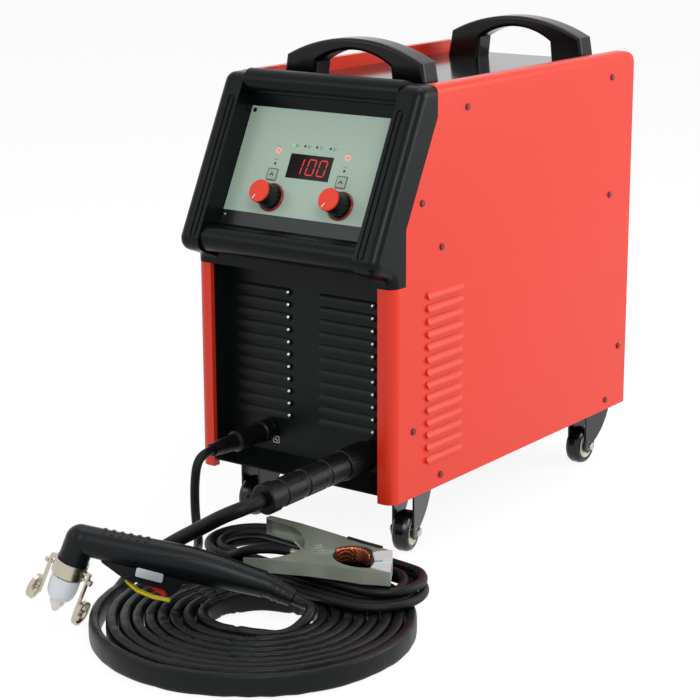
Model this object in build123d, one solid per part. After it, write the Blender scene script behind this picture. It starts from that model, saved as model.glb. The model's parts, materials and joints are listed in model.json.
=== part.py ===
"""Inverter plasma cutter on casters, with its torch and earth clamp laid out in front of it.

Millimetres, +Z up.  The origin is on the floor under the middle of the cabinet, the
control panel faces -Y, and the machine's right side is +X.
"""
from build123d import *
from math import cos, degrees, hypot, pi, radians, sin, tan
import os

# ---------------------------------------------------------------- cabinet
cabinet_width = 290.0
cabinet_depth = 552.0
front_y, rear_y = -cabinet_depth / 2, cabinet_depth / 2
cover_bottom = 77.0
cover_top = 556.0
sheet = 1.5
fit_gap = 0.3            # between parts of different mouldings and sheets
return_width = 22.0      # front return of a side cover
return_lip = 10.0
fold_radius = 13.0
rim_width = 18.0         # folded top rim of a side cover
rim_radius = 9.0
rim_depth = 16.0         # how far the top panel lies below the rim
rear_corner_radius = 18.0
pan_underside = 84.0
pan_flange = 20.0
recess_depth = 36.0      # louvred panel behind the front returns
apron_rise = 12.0
apron_edge = 88.0        # lower edge of the front panel's apron

# ---------------------------------------------------------------- louvres
louvre_pitch = 15.3
louvre_height = 9.6
louvre_rise = 4.0
front_louvre_length = 82.0
front_louvre_columns = (-69.5, 54.5)
front_louvre_rows = 11
front_louvre_top = 302.5
side_louvre_length = 75.0
side_louvre_y = front_y + 104.0
side_louvre_rows = 14
side_louvre_top = 315.0

# ---------------------------------------------------------------- bezel and control panel
bezel_bottom = 333.0
border_low_y = front_y + 25.4    # where the cheek meets the side cover, low, and high
border_high_y = front_y + 88.0
border_low_z = 399.0
border_high_z = 520.0
panel_slope = 26.7       # degrees from upright
panel_y = front_y + 38.8
panel_z = 449.3
panel_width = 224.0
panel_height = 149.0
panel_plate = 2.5
cheek_width = 32.3
cheek_front_y = front_y + 45.0   # cheek's front plane at the height below
cheek_front_z = 528.0
cheek_round = 12.0
cheek_slot = (371.0, 531.0)     # lower and upper end of the slot moulded round its front
top_bar_y, top_bar_z, top_bar_radius = front_y + 70.0, 546.5, 15.0
low_bar_y, low_bar_z, low_bar_radius = front_y - 15.0, 368.0, 16.0
display_size = (62.0, 29.6)
display_place = (-3.7, 5.6)
knob_places = {"left": (-46.0, -36.0), "right": (55.0, -36.0)}
knob_height = 27.0
knob_rest = 150.0        # pointer at rest, turned back from straight up
knob_radius = 14.5
skirt_radius = 17.5
shaft_radius = 3.0
shaft_clearance = 0.05
button_size = 13.0
button_places = {"left": (-54.6, -7.8), "right": (46.7, -7.8)}
button_travel = 0.6
led_places = [(-35.5, 30.8), (-18.0, 30.8), (-0.6, 30.8), (19.1, 30.8),
              (-54.8, 22.3), (-54.8, 6.0), (46.6, 22.3), (46.6, 6.0)]
led_radius = 1.6
board_depth = 16.0       # control board behind the face of the panel

# ---------------------------------------------------------------- top handles
handle_places = {"front": front_y + 138.0, "rear": rear_y - 50.0}
handle_length = 210.0
handle_depth = 32.0
handle_rise = 58.0
handle_foot = 48.0
grip_thickness = 14.0
handle_round = 4.5

# ---------------------------------------------------------------- casters
wheel_diameter = 50.0
wheel_width = 21.0
caster_x = 113.0
caster_front_y = front_y + 88.0
caster_rear_y = rear_y - 36.0
caster_trail = 24.0
caster_turn = {"front_left": 4.0, "front_right": 14.0, "rear_left": -6.0, "rear_right": 0.0}
king_pin_radius = 5.0
axle_radius = 3.0
pin_clearance = 0.05
fork_plate = 2.5

# ---------------------------------------------------------------- rear
fan_x, fan_z = 50.0, 372.0
fan_bore_radius = 74.0
fan_frame_side = 162.0
fan_frame_depth = 50.0
fan_blades = 7
switch_x, switch_z = -88.0, 470.0
gland_x, gland_z = -92.0, 150.0
air_x, air_z = 92.0, 150.0

# ---------------------------------------------------------------- connectors
earth_x, earth_z = -64.0, 127.0
earth_plug_length = 105.0
torch_x, torch_z = 95.0, 127.0
torch_yaw, torch_droop = 6.0, 4.0        # the coupling hangs a little left and down
coupling_start, coupling_end = 18.5, 60.0
sleeve_end = 190.0

# ---------------------------------------------------------------- torch lead
sleeve_thickness, sleeve_height = 12.5, 26.0      # flat sleeve, coiled on edge
lead_diameter = 17.0
tail_diameter = 12.0
coil_centre = (135.3, -517.6)
coil_radius = 168.0
coil_pitch = 13.5
coil_half_turns = 15
coil_inner_radius = 53.0
coil_flare = 3.0          # the outermost turn starts this much wider
coil_start_degrees = 200

# ---------------------------------------------------------------- torch
torch_origin = (137.4, -506.5, 49.3)
torch_heading, torch_tilt = 29.3, 13.0
head_x = 204.7           # where the head's axis leaves the grip
head_lean = 8.8
neck_radius = 16.8
boot_length = 33.0
boot_bend = 13.0         # the strain boot hangs this much
tail_rise = 3.2          # middle of the grip's tail above the torch's own axis
neck_end = 43.5
body_radius = 11.8       # brass body inside the neck
ring_middle = 34.0       # guide ring, down the head's axis
grip_sections = [(0.0, -11.3, 17.7, 14.2), (30.0, -13.0, 20.5, 15.0), (85.0, -15.5, 23.6, 16.2),
                 (130.0, -15.8, 21.0, 16.3), (165.0, -16.0, 18.6, 16.4), (204.7, -16.3, 16.7, 16.5)]
rib_places = [134.0 + 9.4 * i for i in range(6)]
pivot_radius = 1.2
trigger_pivot = (134.0, -26.0)
safety_pivot = (148.0, -26.0)
guide_turn = 18.0        # wheel guide, turned about the nozzle
guide_reach = 31.0
guide_drop = 75.5
guide_wheel_radius = 14.3

# ---------------------------------------------------------------- earth lead and clamp
earth_lead_diameter = 11.0
earth_coil_centre = (120.0, -396.0)
earth_coil_angle = -4.0
earth_coil_run = 180.0
earth_coil_reach = 60.0      # outermost strand from the long axis
earth_inward = 4             # half turns of the lower layer, then as many back out on top
earth_strand = 12.0
earth_layer = 11.7
clamp_place = (139.0, -414.0, 60.0)
jaw_plate = 2.0
jaw_depth = 20.0
rivet_radius = 4.0
contact_line = [(93.0, 12.0), (80.0, -2.5)]      # where the two contact blocks meet
lug_reach, lug_y = 26.0, -12.0

half_width = cabinet_width / 2
louvre_y = front_y + recess_depth
top_panel_z = cover_top - rim_depth
inner_x = half_width - sheet

os.makedirs("parts", exist_ok=True)
nodes = {}


def keep(name, *solids):
    """File a node: one solid, or a group of separate ones."""
    flat = [s for shape in solids for s in shape.solids()]
    nodes[name] = flat[0] if len(flat) == 1 else Compound(children=flat)


def block(x0, x1, y0, y1, z0, z1):
    return Pos((x0 + x1) / 2, (y0 + y1) / 2, (z0 + z1) / 2) * Box(x1 - x0, y1 - y0, z1 - z0)


def along_x(points, x0, x1):
    """Extrude a closed outline of (y, z) points from x0 to x1."""
    face = make_face(Polyline([(x0, y, z) for y, z in points], close=True))
    return extrude(face, x1 - x0, dir=(1, 0, 0))


def rod(start, end, radius):
    a, b = Vector(*start), Vector(*end)
    axis = b - a
    plane = Plane(origin=a, z_dir=axis)
    return plane.location * Pos(0, 0, axis.length / 2) * Cylinder(radius, axis.length)


def mirrored(shape):
    return mirror(shape, about=Plane.YZ)


# ================================================================ louvres
def louvre(length):
    """A pressed louvre on a sheet whose face is y = 0: what it adds, and what it opens."""
    def bulge(height, rise, long, back):
        profile = make_face([Line((0, back, height / 2), (0, 0, height / 2)),
                             ThreePointArc((0, 0, height / 2), (0, -rise * 0.78, 0), (0, -rise, -height / 2)),
                             Line((0, -rise, -height / 2), (0, back, -height / 2)),
                             Line((0, back, -height / 2), (0, back, height / 2))])
        bar = Pos(-long / 2, 0, 0) * extrude(profile, long, dir=(1, 0, 0))
        outline = Plane.XZ * SlotOverall(long, height)
        return bar & extrude(outline, 2 * (rise + sheet), both=True)

    outer = bulge(louvre_height, louvre_rise, length, sheet / 2)
    wall = 1.0
    inner = bulge(louvre_height - 2 * wall, louvre_rise - wall, length - 2 * wall, sheet + 0.5)
    mouth = Pos(0, -(louvre_rise - wall) / 2, -louvre_height / 2 + wall / 2)
    mouth = mouth * Box(length - louvre_height, louvre_rise - wall, 3 * wall)
    return outer, inner + mouth


def louvred(panel, places, length, turn=0):
    """Press a louvre into the panel at each (x, y, z), turned about Z."""
    outer, opening = louvre(length)
    spots = [Pos(*p) * Rot(0, 0, turn) for p in places]
    panel = panel + [spot * outer for spot in spots]
    return panel - [spot * opening for spot in spots]


# ================================================================ sheet-metal cabinet
screw_rows = [(front_y + 150, 525.0), (rear_y - 58, 526.0), (front_y + 57, 425.0), (front_y + 98, 368.0),
              (rear_y - 57, 372.0), (rear_y - 21, 160.0), (rear_y - 52, 91.0), (front_y + 41, 158.0),
              (front_y + 99, 91.0)]
screw_shank = 2.0


def side_cover():
    """Right cover: plate, front return with its lip, and folded top rim."""
    x1, x0, t = half_width, half_width - return_width, sheet
    front = Polyline((x1, front_y + 30), (x1, front_y), (x0, front_y), (x0, front_y + return_lip),
                     (x0 + t, front_y + return_lip), (x0 + t, front_y + t), (x1 - t, front_y + t),
                     (x1 - t, front_y + 30), close=True)
    section = make_face(front)
    outer = section.vertices().sort_by_distance((x1, front_y, 0))[0]
    section = fillet(outer, fold_radius)
    inner = section.vertices().sort_by_distance((x1 - t, front_y + t, 0))[0]
    section = fillet(inner, fold_radius - t)
    fold = extrude(Pos(0, 0, cover_bottom) * section, bezel_bottom - cover_bottom)

    r0 = half_width - rim_width
    rim = make_face(Polyline((x1, 0, cover_top - 30), (x1, 0, cover_top), (r0, 0, cover_top),
                             (r0, 0, top_panel_z), (r0 + t, 0, top_panel_z), (r0 + t, 0, cover_top - t),
                             (x1 - t, 0, cover_top - t), (x1 - t, 0, cover_top - 30), close=True))
    outer = rim.vertices().sort_by_distance((x1, 0, cover_top))[0]
    rim = fillet(outer, rim_radius)
    inner = rim.vertices().sort_by_distance((x1 - t, 0, cover_top - t))[0]
    rim = fillet(inner, rim_radius - t)
    rim = Pos(0, border_high_y, 0) * extrude(rim, rear_y - border_high_y, dir=(0, 1, 0))

    plate = along_x([(front_y + fold_radius, cover_bottom), (rear_y, cover_bottom),
                     (rear_y, cover_top - rim_radius), (border_high_y, cover_top - rim_radius),
                     (border_high_y, border_high_z), (border_low_y, border_low_z),
                     (border_low_y, bezel_bottom), (front_y + fold_radius, bezel_bottom)], x1 - t, x1)
    cover = fold + rim + plate
    corner = block(0, x1 + 1, rear_y - rear_corner_radius, rear_y + 1, cover_top - rear_corner_radius,
                   cover_top + 1)
    corner -= rod((-1, rear_y - rear_corner_radius, cover_top - rear_corner_radius),
                  (x1 + 2, rear_y - rear_corner_radius, cover_top - rear_corner_radius), rear_corner_radius)
    cover -= corner
    places = [(x1, side_louvre_y, side_louvre_top - louvre_pitch * i) for i in range(side_louvre_rows)]
    cover = louvred(cover, places, side_louvre_length, turn=90)
    holes = [rod((x1 - 5, y, z), (x1 + 1, y, z), screw_shank + 0.15) for y, z in screw_rows]
    return cover - holes


def cover_screws():
    """Pan-head screws through both side covers."""
    screws = []
    for y, z in screw_rows:
        head = Pos(half_width, y, z) * Rot(0, 90, 0) * Cylinder(4.0, 2.2, align=(Align.CENTER,) * 2 + (Align.MIN,))
        head = fillet(head.faces().sort_by(Axis.X)[-1].edges(), 1.2)
        screw = head + rod((half_width - 3.0, y, z), (half_width + 0.5, y, z), screw_shank)
        screws += [screw, mirrored(screw)]
    return screws


def base_pan():
    x, y0, y1, z, t = inner_x - 0.05, louvre_y + sheet, rear_y - 2 * sheet, pan_underside, sheet
    pan = block(-x, x, y0, y1, z, z + pan_flange) - block(-x + t, x - t, y0 + t, y1 - t, z + t, z + 99)
    for fx in (-caster_x, caster_x):
        for fy in (caster_front_y, caster_rear_y):
            pan -= rod((fx, fy, z - 1), (fx, fy, z + 3), 9.0)
    for y, z1 in screw_rows:
        if z1 < z + pan_flange:
            pan -= [rod((s * (x - 5), y, z1), (s * (x + 1), y, z1), screw_shank + 0.15) for s in (-1, 1)]
    for i in range(5):
        pan -= block(-60, 60, -60 + 40 * i, -54 + 40 * i, z - 1, z + 3)
    return pan


def front_panel():
    """Recessed louvred sheet, its side walls and the apron that comes forward below it."""
    x, t, y = half_width - return_width - fit_gap, sheet, louvre_y
    foot = apron_edge + apron_rise
    sheet_line = [(y, 350), (y, foot), (front_y + fit_gap, apron_edge), (front_y + fit_gap, apron_edge - 1.6),
                  (front_y + 2.5, apron_edge - 1.6), (y + t, foot - t), (y + t, 350)]
    panel = along_x(sheet_line, -x, x)
    wall = along_x([(y + t, 345), (y + t, foot - 8), (y, foot - 1.6), (front_y + return_lip - 4, apron_edge + 1),
                    (front_y + return_lip - 4, bezel_bottom - fit_gap), (y, bezel_bottom - fit_gap), (y, 345)],
                   x - t, x)
    panel += [wall, mirrored(wall)]
    for column in front_louvre_columns:
        places = [(column, y, front_louvre_top - louvre_pitch * i) for i in range(front_louvre_rows)]
        panel = louvred(panel, places, front_louvre_length)
    panel -= rod((earth_x, y - 1, earth_z), (earth_x, y + 5, earth_z), 10.15)
    panel -= rod((torch_x, y - 1, torch_z), (torch_x, y + 5, torch_z), 13.15)
    return panel


def top_cover():
    """Glossy top panel with turned-down side flanges, under the rims of the side covers."""
    x, z, t = inner_x - 0.05, top_panel_z, sheet
    y0, y1 = border_high_y + fit_gap, rear_y - 2 * sheet
    top = block(-x, x, y0, y1, z - 22, z) - block(-x + t, x - t, y0 - 1, y1 + 1, z - 99, z - t)
    for y, z1 in screw_rows:
        if z1 > z - 22:
            top -= [rod((s * (x - 5), y, z1), (s * (x + 1), y, z1), screw_shank + 0.15) for s in (-1, 1)]
    return top


def rear_panel():
    x, t = inner_x - 0.05, sheet
    y0, y1 = rear_y - 2 * t, rear_y - t
    panel = block(-x, x, y0, y1, pan_underside, top_panel_z)
    flange = block(-x, -x + t, y0 - 12, y1, pan_underside + pan_flange + 1, top_panel_z - 23)
    panel += [flange, mirrored(flange)]
    panel -= rod((fan_x, y0 - 1, fan_z), (fan_x, y1 + 1, fan_z), fan_bore_radius)
    panel -= block(switch_x - 15.2, switch_x + 15.2, y0 - 1, y1 + 1, switch_z - 11.2, switch_z + 11.2)
    panel -= rod((gland_x, y0 - 1, gland_z), (gland_x, y1 + 1, gland_z), 11.15)
    panel -= rod((air_x, y0 - 1, air_z), (air_x, y1 + 1, air_z), 7.15)
    for y, z in screw_rows:
        if y > rear_y - 25:
            panel -= [rod((s * (x - 5), y, z), (s * (x + 1), y, z), screw_shank + 0.15) for s in (-1, 1)]
    return panel


# ================================================================ bezel and controls
slope = radians(panel_slope)
panel_normal = Vector(0, -cos(slope), sin(slope))
panel_up = Vector(0, sin(slope), cos(slope))


def on_panel(u, v, out=0.0):
    """Location on the sloped control panel: u right, v up the slope, out from its face."""
    origin = Vector(0, panel_y, panel_z) + Vector(1, 0, 0) * u + panel_up * v + panel_normal * out
    return Plane(origin=origin, x_dir=(1, 0, 0), z_dir=panel_normal).location


def panel_yz(v, out):
    spot = Vector(0, panel_y, panel_z) + panel_up * v + panel_normal * out
    return spot.Y, spot.Z


def bar_point(y, z, radius, angle):
    return y + radius * cos(radians(angle)), z + radius * sin(radians(angle))


def bezel_frame():
    """Middle moulding: top and bottom bars, and the sloped plate that carries the panel."""
    x = half_width - cheek_width - fit_gap
    low = [bar_point(low_bar_y, low_bar_z, low_bar_radius, a) for a in (-70, 180, 50)]
    top = [bar_point(top_bar_y, top_bar_z, top_bar_radius, a) for a in (-100, 180, 90)]
    half = panel_height / 2 + fit_gap
    seat = -panel_plate
    outline = [(front_y, bezel_bottom + fit_gap), (front_y, 346), low[0]]
    after_low = [low[2], panel_yz(-half, 1.0), panel_yz(-half, seat), panel_yz(half, seat),
                 panel_yz(half, 1.0), top[0]]
    back = [top[2], (border_high_y - fit_gap, cover_top), (border_high_y - fit_gap, 528),
            panel_yz(half + 4, -9), panel_yz(-half - 6, -9), (front_y + 20, 356), (louvre_y - fit_gap, 345),
            (louvre_y - fit_gap, bezel_bottom + fit_gap), outline[0]]

    def stood(points):
        return [(-x, y, z) for y, z in points]
    edges = Polyline(stood(outline)) + ThreePointArc(*stood(low)) + Polyline(stood(after_low))
    edges += ThreePointArc(*stood(top)) + Polyline(stood(back))
    body = extrude(make_face(edges), 2 * x, dir=(1, 0, 0))
    window = on_panel(*display_place, -6) * Box(display_size[0] + 1, display_size[1] + 1, 8)
    body -= window
    for u, v in knob_places.values():
        body -= on_panel(u, v, -6) * Cylinder(5.5, 8)
    for u, v in button_places.values():
        body -= on_panel(u, v, -6) * Box(button_size + 0.8, button_size + 0.8, 8)
    for u in (-96, 96):
        for v in (-62, 62):
            post = on_panel(u, v, -12.5 + 0.25) * Cylinder(4.0, 7.5)
            body += post
    return body


def cheek():
    """Right-hand cheek of the bezel: a sloped moulding with a long inset slot."""
    x0, x1 = half_width - cheek_width, half_width
    rake = tan(slope)

    def front(z):
        return cheek_front_y - (cheek_front_z - z) * rake

    pts = [(border_low_y - fit_gap, bezel_bottom + fit_gap), (front_y, bezel_bottom + fit_gap), (front_y, 343),
           (front(358), 358), (front(cover_top), cover_top), (border_high_y - fit_gap, cover_top),
           (border_high_y - fit_gap, border_high_z), (border_low_y - fit_gap, border_low_z)]
    face = make_face(Polyline([(x0, y, z) for y, z in pts], close=True))
    body = extrude(face, x1 - x0, dir=(1, 0, 0))
    for y, z, radius in ((front(358), 358, 15.0), (front(cover_top), cover_top, 15.0), (front_y, 343, 6.0)):
        body = fillet(body.edges().filter_by(Axis.X).sort_by_distance((x1, y, z))[0], radius)
    rim = body.faces().filter_by(Axis.X).sort_by(Axis.X)[-1].edges()
    rim = [e for e in rim if e.center().Y < border_low_y - 8 and e.center().Z > bezel_bottom + 4
           or e.center().Z > border_high_z + 12 and e.center().Y < border_high_y - 2]
    body = fillet(rim, cheek_round)
    middle = (cheek_slot[0] + cheek_slot[1]) / 2
    spot = Plane(origin=(x0 + 9.5, front(middle), middle), x_dir=panel_up, z_dir=panel_normal)
    long = (cheek_slot[1] - cheek_slot[0]) / cos(slope)
    groove = SlotOverall(long, 9.4) - SlotOverall(long - 4.4, 5.0)
    return body - spot.location * extrude(groove, 1.6, both=True)


def control_panel():
    plate = on_panel(0, 0, -panel_plate / 2) * Box(panel_width, panel_height, panel_plate)
    plate -= on_panel(*display_place, -2) * Box(display_size[0] + 0.4, display_size[1] + 0.4, 8)
    for u, v in knob_places.values():
        plate -= on_panel(u, v, -2) * Cylinder(4.5, 8)
    for u, v in button_places.values():
        plate -= on_panel(u, v, -2) * Box(button_size + 0.6, button_size + 0.6, 8)
    for u, v in led_places:
        plate -= on_panel(u, v, -2) * Cylinder(led_radius + 0.1, 8)
    return plate


def display_window():
    return on_panel(*display_place, -0.9) * Box(*display_size, 2.6)


def leds():
    lens = Cylinder(led_radius, panel_plate + 0.6)
    lens = fillet(lens.faces().sort_by(Axis.Z)[-1].edges(), 0.8)
    return [on_panel(u, v, -panel_plate / 2 + 0.35) * lens for u, v in led_places]


def knob(side):
    """Fluted knob with a skirt ring, a pointer cap and a blind bore for its shaft."""
    floor = fit_gap
    skirt = Pos(0, 0, floor) * Cylinder(skirt_radius, 3.0, align=(Align.CENTER, Align.CENTER, Align.MIN))
    skirt = chamfer(skirt.faces().sort_by(Axis.Z)[-1].edges(), 1.2)
    body = Pos(0, 0, floor + 3) * Cone(knob_radius, knob_radius - 1.2, knob_height - 6,
                                       align=(Align.CENTER, Align.CENTER, Align.MIN))
    flutes = PolarLocations(knob_radius + 0.5, 16)
    body -= [loc * Cylinder(1.4, 60) for loc in flutes]
    cap = Pos(0, 0, floor + knob_height - 3) * Cylinder(knob_radius - 0.6, 3.0,
                                                       align=(Align.CENTER, Align.CENTER, Align.MIN))
    cap = fillet(cap.faces().sort_by(Axis.Z)[-1].edges(), 1.5)
    pointer = Pos(0, knob_radius - 5.5, floor + knob_height) * Box(1.2, 6, 0.6)
    whole = skirt + body + cap + Rot(0, 0, knob_rest) * pointer
    bore = Pos(0, 0, 8.0) * Cylinder(shaft_radius + shaft_clearance, 18.0)
    return on_panel(*knob_places[side]) * (whole - bore)


def button(side):
    cap = Box(button_size, button_size, 6.0)
    cap = fillet(cap.faces().sort_by(Axis.Z)[-1].edges(), 0.8)
    return on_panel(*button_places[side], 1.2 - 3.0) * cap


def control_board():
    """Circuit board behind the panel, with the display module, the pots and the key switches."""
    board = on_panel(0, 0, -board_depth - 0.8) * Box(208, 138, 1.6)
    board += on_panel(*display_place, -board_depth / 2 - 1.4) * Box(display_size[0] - 2, display_size[1] - 2,
                                                                  board_depth - 2.8)
    for side in knob_places:
        u, v = knob_places[side]
        board += on_panel(u, v, -board_depth + 3.4) * Cylinder(8.5, 6.8)
        board += on_panel(u, v, -board_depth / 2 + 7.5) * Cylinder(shaft_radius, board_depth + 13)
    stem = board_depth - 4.8 - button_travel - fit_gap
    for u, v in button_places.values():
        board += on_panel(u, v, -board_depth + stem / 2) * Cylinder(3.0, stem)
    return board


# ================================================================ handles
def top_handle(y):
    """Arched carrying handle moulded with a block foot at each end."""
    z0, half = top_panel_z, handle_length / 2
    z1 = z0 + handle_rise
    shoulder = z0 + 34
    crown_in = z1 - grip_thickness
    foot_in = half - handle_foot
    edge = [Line((-half, 0, z0), (-half + 6, 0, shoulder)),
            ThreePointArc((-half + 6, 0, shoulder), (0, 0, z1), (half - 6, 0, shoulder)),
            Line((half - 6, 0, shoulder), (half, 0, z0)), Line((half, 0, z0), (foot_in, 0, z0)),
            Line((foot_in, 0, z0), (foot_in - 3, 0, shoulder - 7)),
            ThreePointArc((foot_in - 3, 0, shoulder - 7), (0, 0, crown_in), (3 - foot_in, 0, shoulder - 7)),
            Line((3 - foot_in, 0, shoulder - 7), (-foot_in, 0, z0)), Line((-foot_in, 0, z0), (-half, 0, z0))]
    body = Pos(0, y - handle_depth / 2, 0) * extrude(make_face(edge), handle_depth, dir=(0, 1, 0))
    rounds = [e for e in body.edges() if abs(abs(e.center().Y - y) - handle_depth / 2) < 0.1 and e.center().Z > z0 + 2]
    return fillet(rounds, handle_round)


# ================================================================ casters
def caster_local(name):
    side = -1 if name.endswith("left") else 1
    y = caster_front_y if name.startswith("front") else caster_rear_y
    return Pos(side * caster_x, y, 0)


def caster_plate():
    """Mounting plate with its raceway and the riveted king pin."""
    z = pan_underside
    plate = block(-29, 29, -24, 24, z - 2, z)
    plate -= [Pos(x, y, z) * Cylinder(3.2, 10) for x in (-22, 22) for y in (-17, 17)]
    race = Pos(0, 0, z - 3.5) * Cylinder(19, 3.2)
    pin = Pos(0, 0, z - 8) * Cylinder(king_pin_radius, 12)
    rivet = Pos(0, 0, z - 13.6) * Cylinder(8.0, 2.4)
    return plate + race + pin + rivet


def caster_fork():
    """Pressed swivel fork: crown, two raked legs, and the axle bolt with its nut."""
    z = pan_underside - 5.5
    gap = wheel_width / 2 + 1.2
    out = gap + fork_plate
    axle_y, axle_z = -caster_trail, wheel_diameter / 2
    leg = make_face([Line((gap, -33, z), (gap, -33, axle_z + 9)),
                     ThreePointArc((gap, -33, axle_z + 9), (gap, axle_y - 2, axle_z - 9.5), (gap, axle_y + 9, axle_z + 2)),
                     ThreePointArc((gap, axle_y + 9, axle_z + 2), (gap, 14, axle_z + 22), (gap, 31, z)),
                     Line((gap, 31, z), (gap, -33, z))])
    leg = extrude(leg, fork_plate, dir=(1, 0, 0))
    crown = block(-out, out, -33, 31, z - fork_plate, z)
    fork = crown + leg + mirrored(leg)
    swing = inner_x - caster_x - fit_gap
    fork -= Pos(0, 0, z - 1) * (Cylinder(60, 2 * (z - 1 - cover_bottom + 2 * fit_gap)) - Cylinder(swing, 20))
    fork -= Pos(0, 0, z) * Cylinder(king_pin_radius + pin_clearance, 20)
    bolt = rod((-out - 3.5, axle_y, axle_z), (out + 4, axle_y, axle_z), axle_radius)
    head = rod((-out - 4.2, axle_y, axle_z), (-out, axle_y, axle_z), 5.4)
    nut = Pos(out + 2.4, axle_y, axle_z) * Rot(0, 90, 0) * extrude(RegularPolygon(5.8, 6), 4.8 / 2, both=True)
    return fork + bolt + head + nut


def caster_wheel():
    """Moulded wheel: tread, dished hub and a bore that runs on the axle bolt."""
    r, w = wheel_diameter / 2, wheel_width / 2
    bore = axle_radius + pin_clearance
    half = [(bore, w + 0.7), (7.5, w + 0.7), (8.5, w - 2), (13.5, w - 3.0), (15.5, w - 0.6), (20.5, w - 0.2),
            (23.4, w - 2.2), (r, w - 6)]
    outline = [(x, 0, a) for a, x in half] + [(-x, 0, a) for a, x in half[::-1]]
    return Pos(0, -caster_trail, r) * revolve(make_face(Polyline(outline, close=True)), Axis.X)


# ================================================================ inside and rear
def heat_sink():
    z = pan_underside + sheet
    y0, y1 = front_y + 166, rear_y - 146
    sink = block(-64, 64, y0, y1, z, z + 8)
    return sink + [block(x - 1, x + 1, y0, y1, z + 8, z + 56) for x in range(-63, 64, 14)]


def inverter_board():
    z = pan_underside + sheet + 56
    board = block(-64, 64, front_y + 156, rear_y - 136, z, z + 1.8)
    for x in (-38, 0, 38):
        for y in (front_y + 191, front_y + 236):
            board += Pos(x, y, z + 1.8) * Cylinder(16, 45, align=(Align.CENTER, Align.CENTER, Align.MIN))
    return board + block(-50, 50, rear_y - 256, rear_y - 166, z + 1.8, z + 30)


def transformer():
    z = pan_underside + sheet
    y0, y1 = front_y + 71, front_y + 131
    core = block(-40, 40, y0, y1, z, z + 66) - block(-26, -10, y0 - 1, y1 + 1, z + 14, z + 52)
    core -= block(10, 26, y0 - 1, y1 + 1, z + 14, z + 52)
    return core + block(-30, 30, y0 + 8, y1 - 8, z + 10, z + 56)


def fan_frame():
    """Square axial-fan frame on the rear panel, with its motor mount on three struts."""
    y1 = rear_y - 2 * sheet
    y0 = y1 - fan_frame_depth
    half = fan_frame_side / 2
    frame = block(fan_x - half, fan_x + half, y0, y1, fan_z - half, fan_z + half)
    frame -= rod((fan_x, y0 - 1, fan_z), (fan_x, y1 + 1, fan_z), fan_bore_radius)
    frame -= block(fan_x - half - 1, fan_x + half + 1, y0 + 6, y1 - 6, fan_z + half - 5, fan_z + half + 1)
    frame -= block(fan_x - half - 1, fan_x + half + 1, y0 + 6, y1 - 6, fan_z - half - 1, fan_z - half + 5)
    frame += rod((fan_x, y0, fan_z), (fan_x, y0 + 5, fan_z), 30)
    for i in range(3):
        strut = Box(4, 5, fan_bore_radius - 25, align=(Align.CENTER, Align.MIN, Align.MIN))
        frame += Pos(fan_x, y0, fan_z) * Rot(0, 120 * i + 60, 0) * Pos(0, 0, 26) * strut
    frame += rod((fan_x, y0 + 4, fan_z), (fan_x, y0 + 22, fan_z), 4.0)
    return frame


def fan_rotor():
    """Hub with swept, pitched blades; its bore runs on the frame's spindle."""
    y0 = rear_y - 2 * sheet - fan_frame_depth
    hub_radius, tip_radius, deep = 30.0, fan_bore_radius - 2.0, 34.0
    hub = Cylinder(hub_radius, deep, align=(Align.CENTER, Align.CENTER, Align.MIN))
    hub = fillet(hub.faces().sort_by(Axis.Z)[-1].edges(), 3)
    def station(radius, pitch, chord, sweep):
        plane = Plane(origin=(radius, 0, deep / 2), x_dir=(0, 1, 0), z_dir=(1, 0, 0))
        return Rot(0, 0, sweep) * plane.location * Rot(0, 0, pitch) * Rectangle(chord, 2.2)
    blade = loft([station(hub_radius - 2, 42, 34, 0), station((hub_radius + tip_radius) / 2, 34, 38, 5),
                  station(tip_radius, 26, 42, 10)], ruled=True)
    rotor = hub + [Rot(0, 0, 360 / fan_blades * i) * blade for i in range(fan_blades)]
    rotor &= Pos(0, 0, deep / 2) * Cylinder(tip_radius, deep + 20)
    rotor -= Pos(0, 0, deep / 2) * Cylinder(4.0 + pin_clearance, deep + 20)
    return Pos(fan_x, y0 + 7, fan_z) * Rot(-90, 0, 0) * rotor


def fan_guard():
    """Domed guard of rings on four bent arms, screwed to the rear panel."""
    y = rear_y - sheet
    wire = 1.8
    rings = [(14, 9.5), (31, 9.0), (48, 7.5), (65, 5.0), (80, 0.0)]
    parts = []
    for radius, stand in rings:
        ring = Circle(radius + wire / 2) - Circle(radius - wire / 2)
        parts.append(Pos(fan_x, y + stand, fan_z) * Rot(-90, 0, 0) * extrude(ring, wire))
    arm = rings + [(r, s + 2.4) for r, s in rings[::-1]]
    arm = [(12.0, 9.5)] + arm[1:-1] + [(12.0, 11.9)]
    face = make_face(Polyline([(0, s, r) for r, s in arm], close=True))
    strip = Pos(-1.3, 0, 0) * extrude(face, 2.6, dir=(1, 0, 0))
    lug = rod((0, 0, 86), (0, 2.0, 86), 5.5) + block(-1.3, 1.3, 0, 2.0, 79, 86)
    lug -= rod((0, -1, 86), (0, 3, 86), 2.2)
    for i in range(4):
        parts.append(Pos(fan_x, y, fan_z) * Rot(0, 45 + 90 * i, 0) * (strip + lug))
    guard = parts[0]
    for piece in parts[1:]:
        guard += piece
    return guard


def mains_switch():
    """Housing of the rocker switch, open to the rear for the rocker."""
    y = rear_y - sheet
    body = block(switch_x - 15, switch_x + 15, y - 26, y + 0.5, switch_z - 11, switch_z + 11)
    body += block(switch_x - 17.5, switch_x + 17.5, y, y + 2.0, switch_z - 13.5, switch_z + 13.5)
    body -= block(switch_x - 13.5, switch_x + 13.5, y - 12, y + 3, switch_z - 9.5, switch_z + 9.5)
    return body - rod((switch_x, y - 3, switch_z - 10.4), (switch_x, y - 3, switch_z + 10.4), 1.25)


rocker_angle = 12.0


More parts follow.
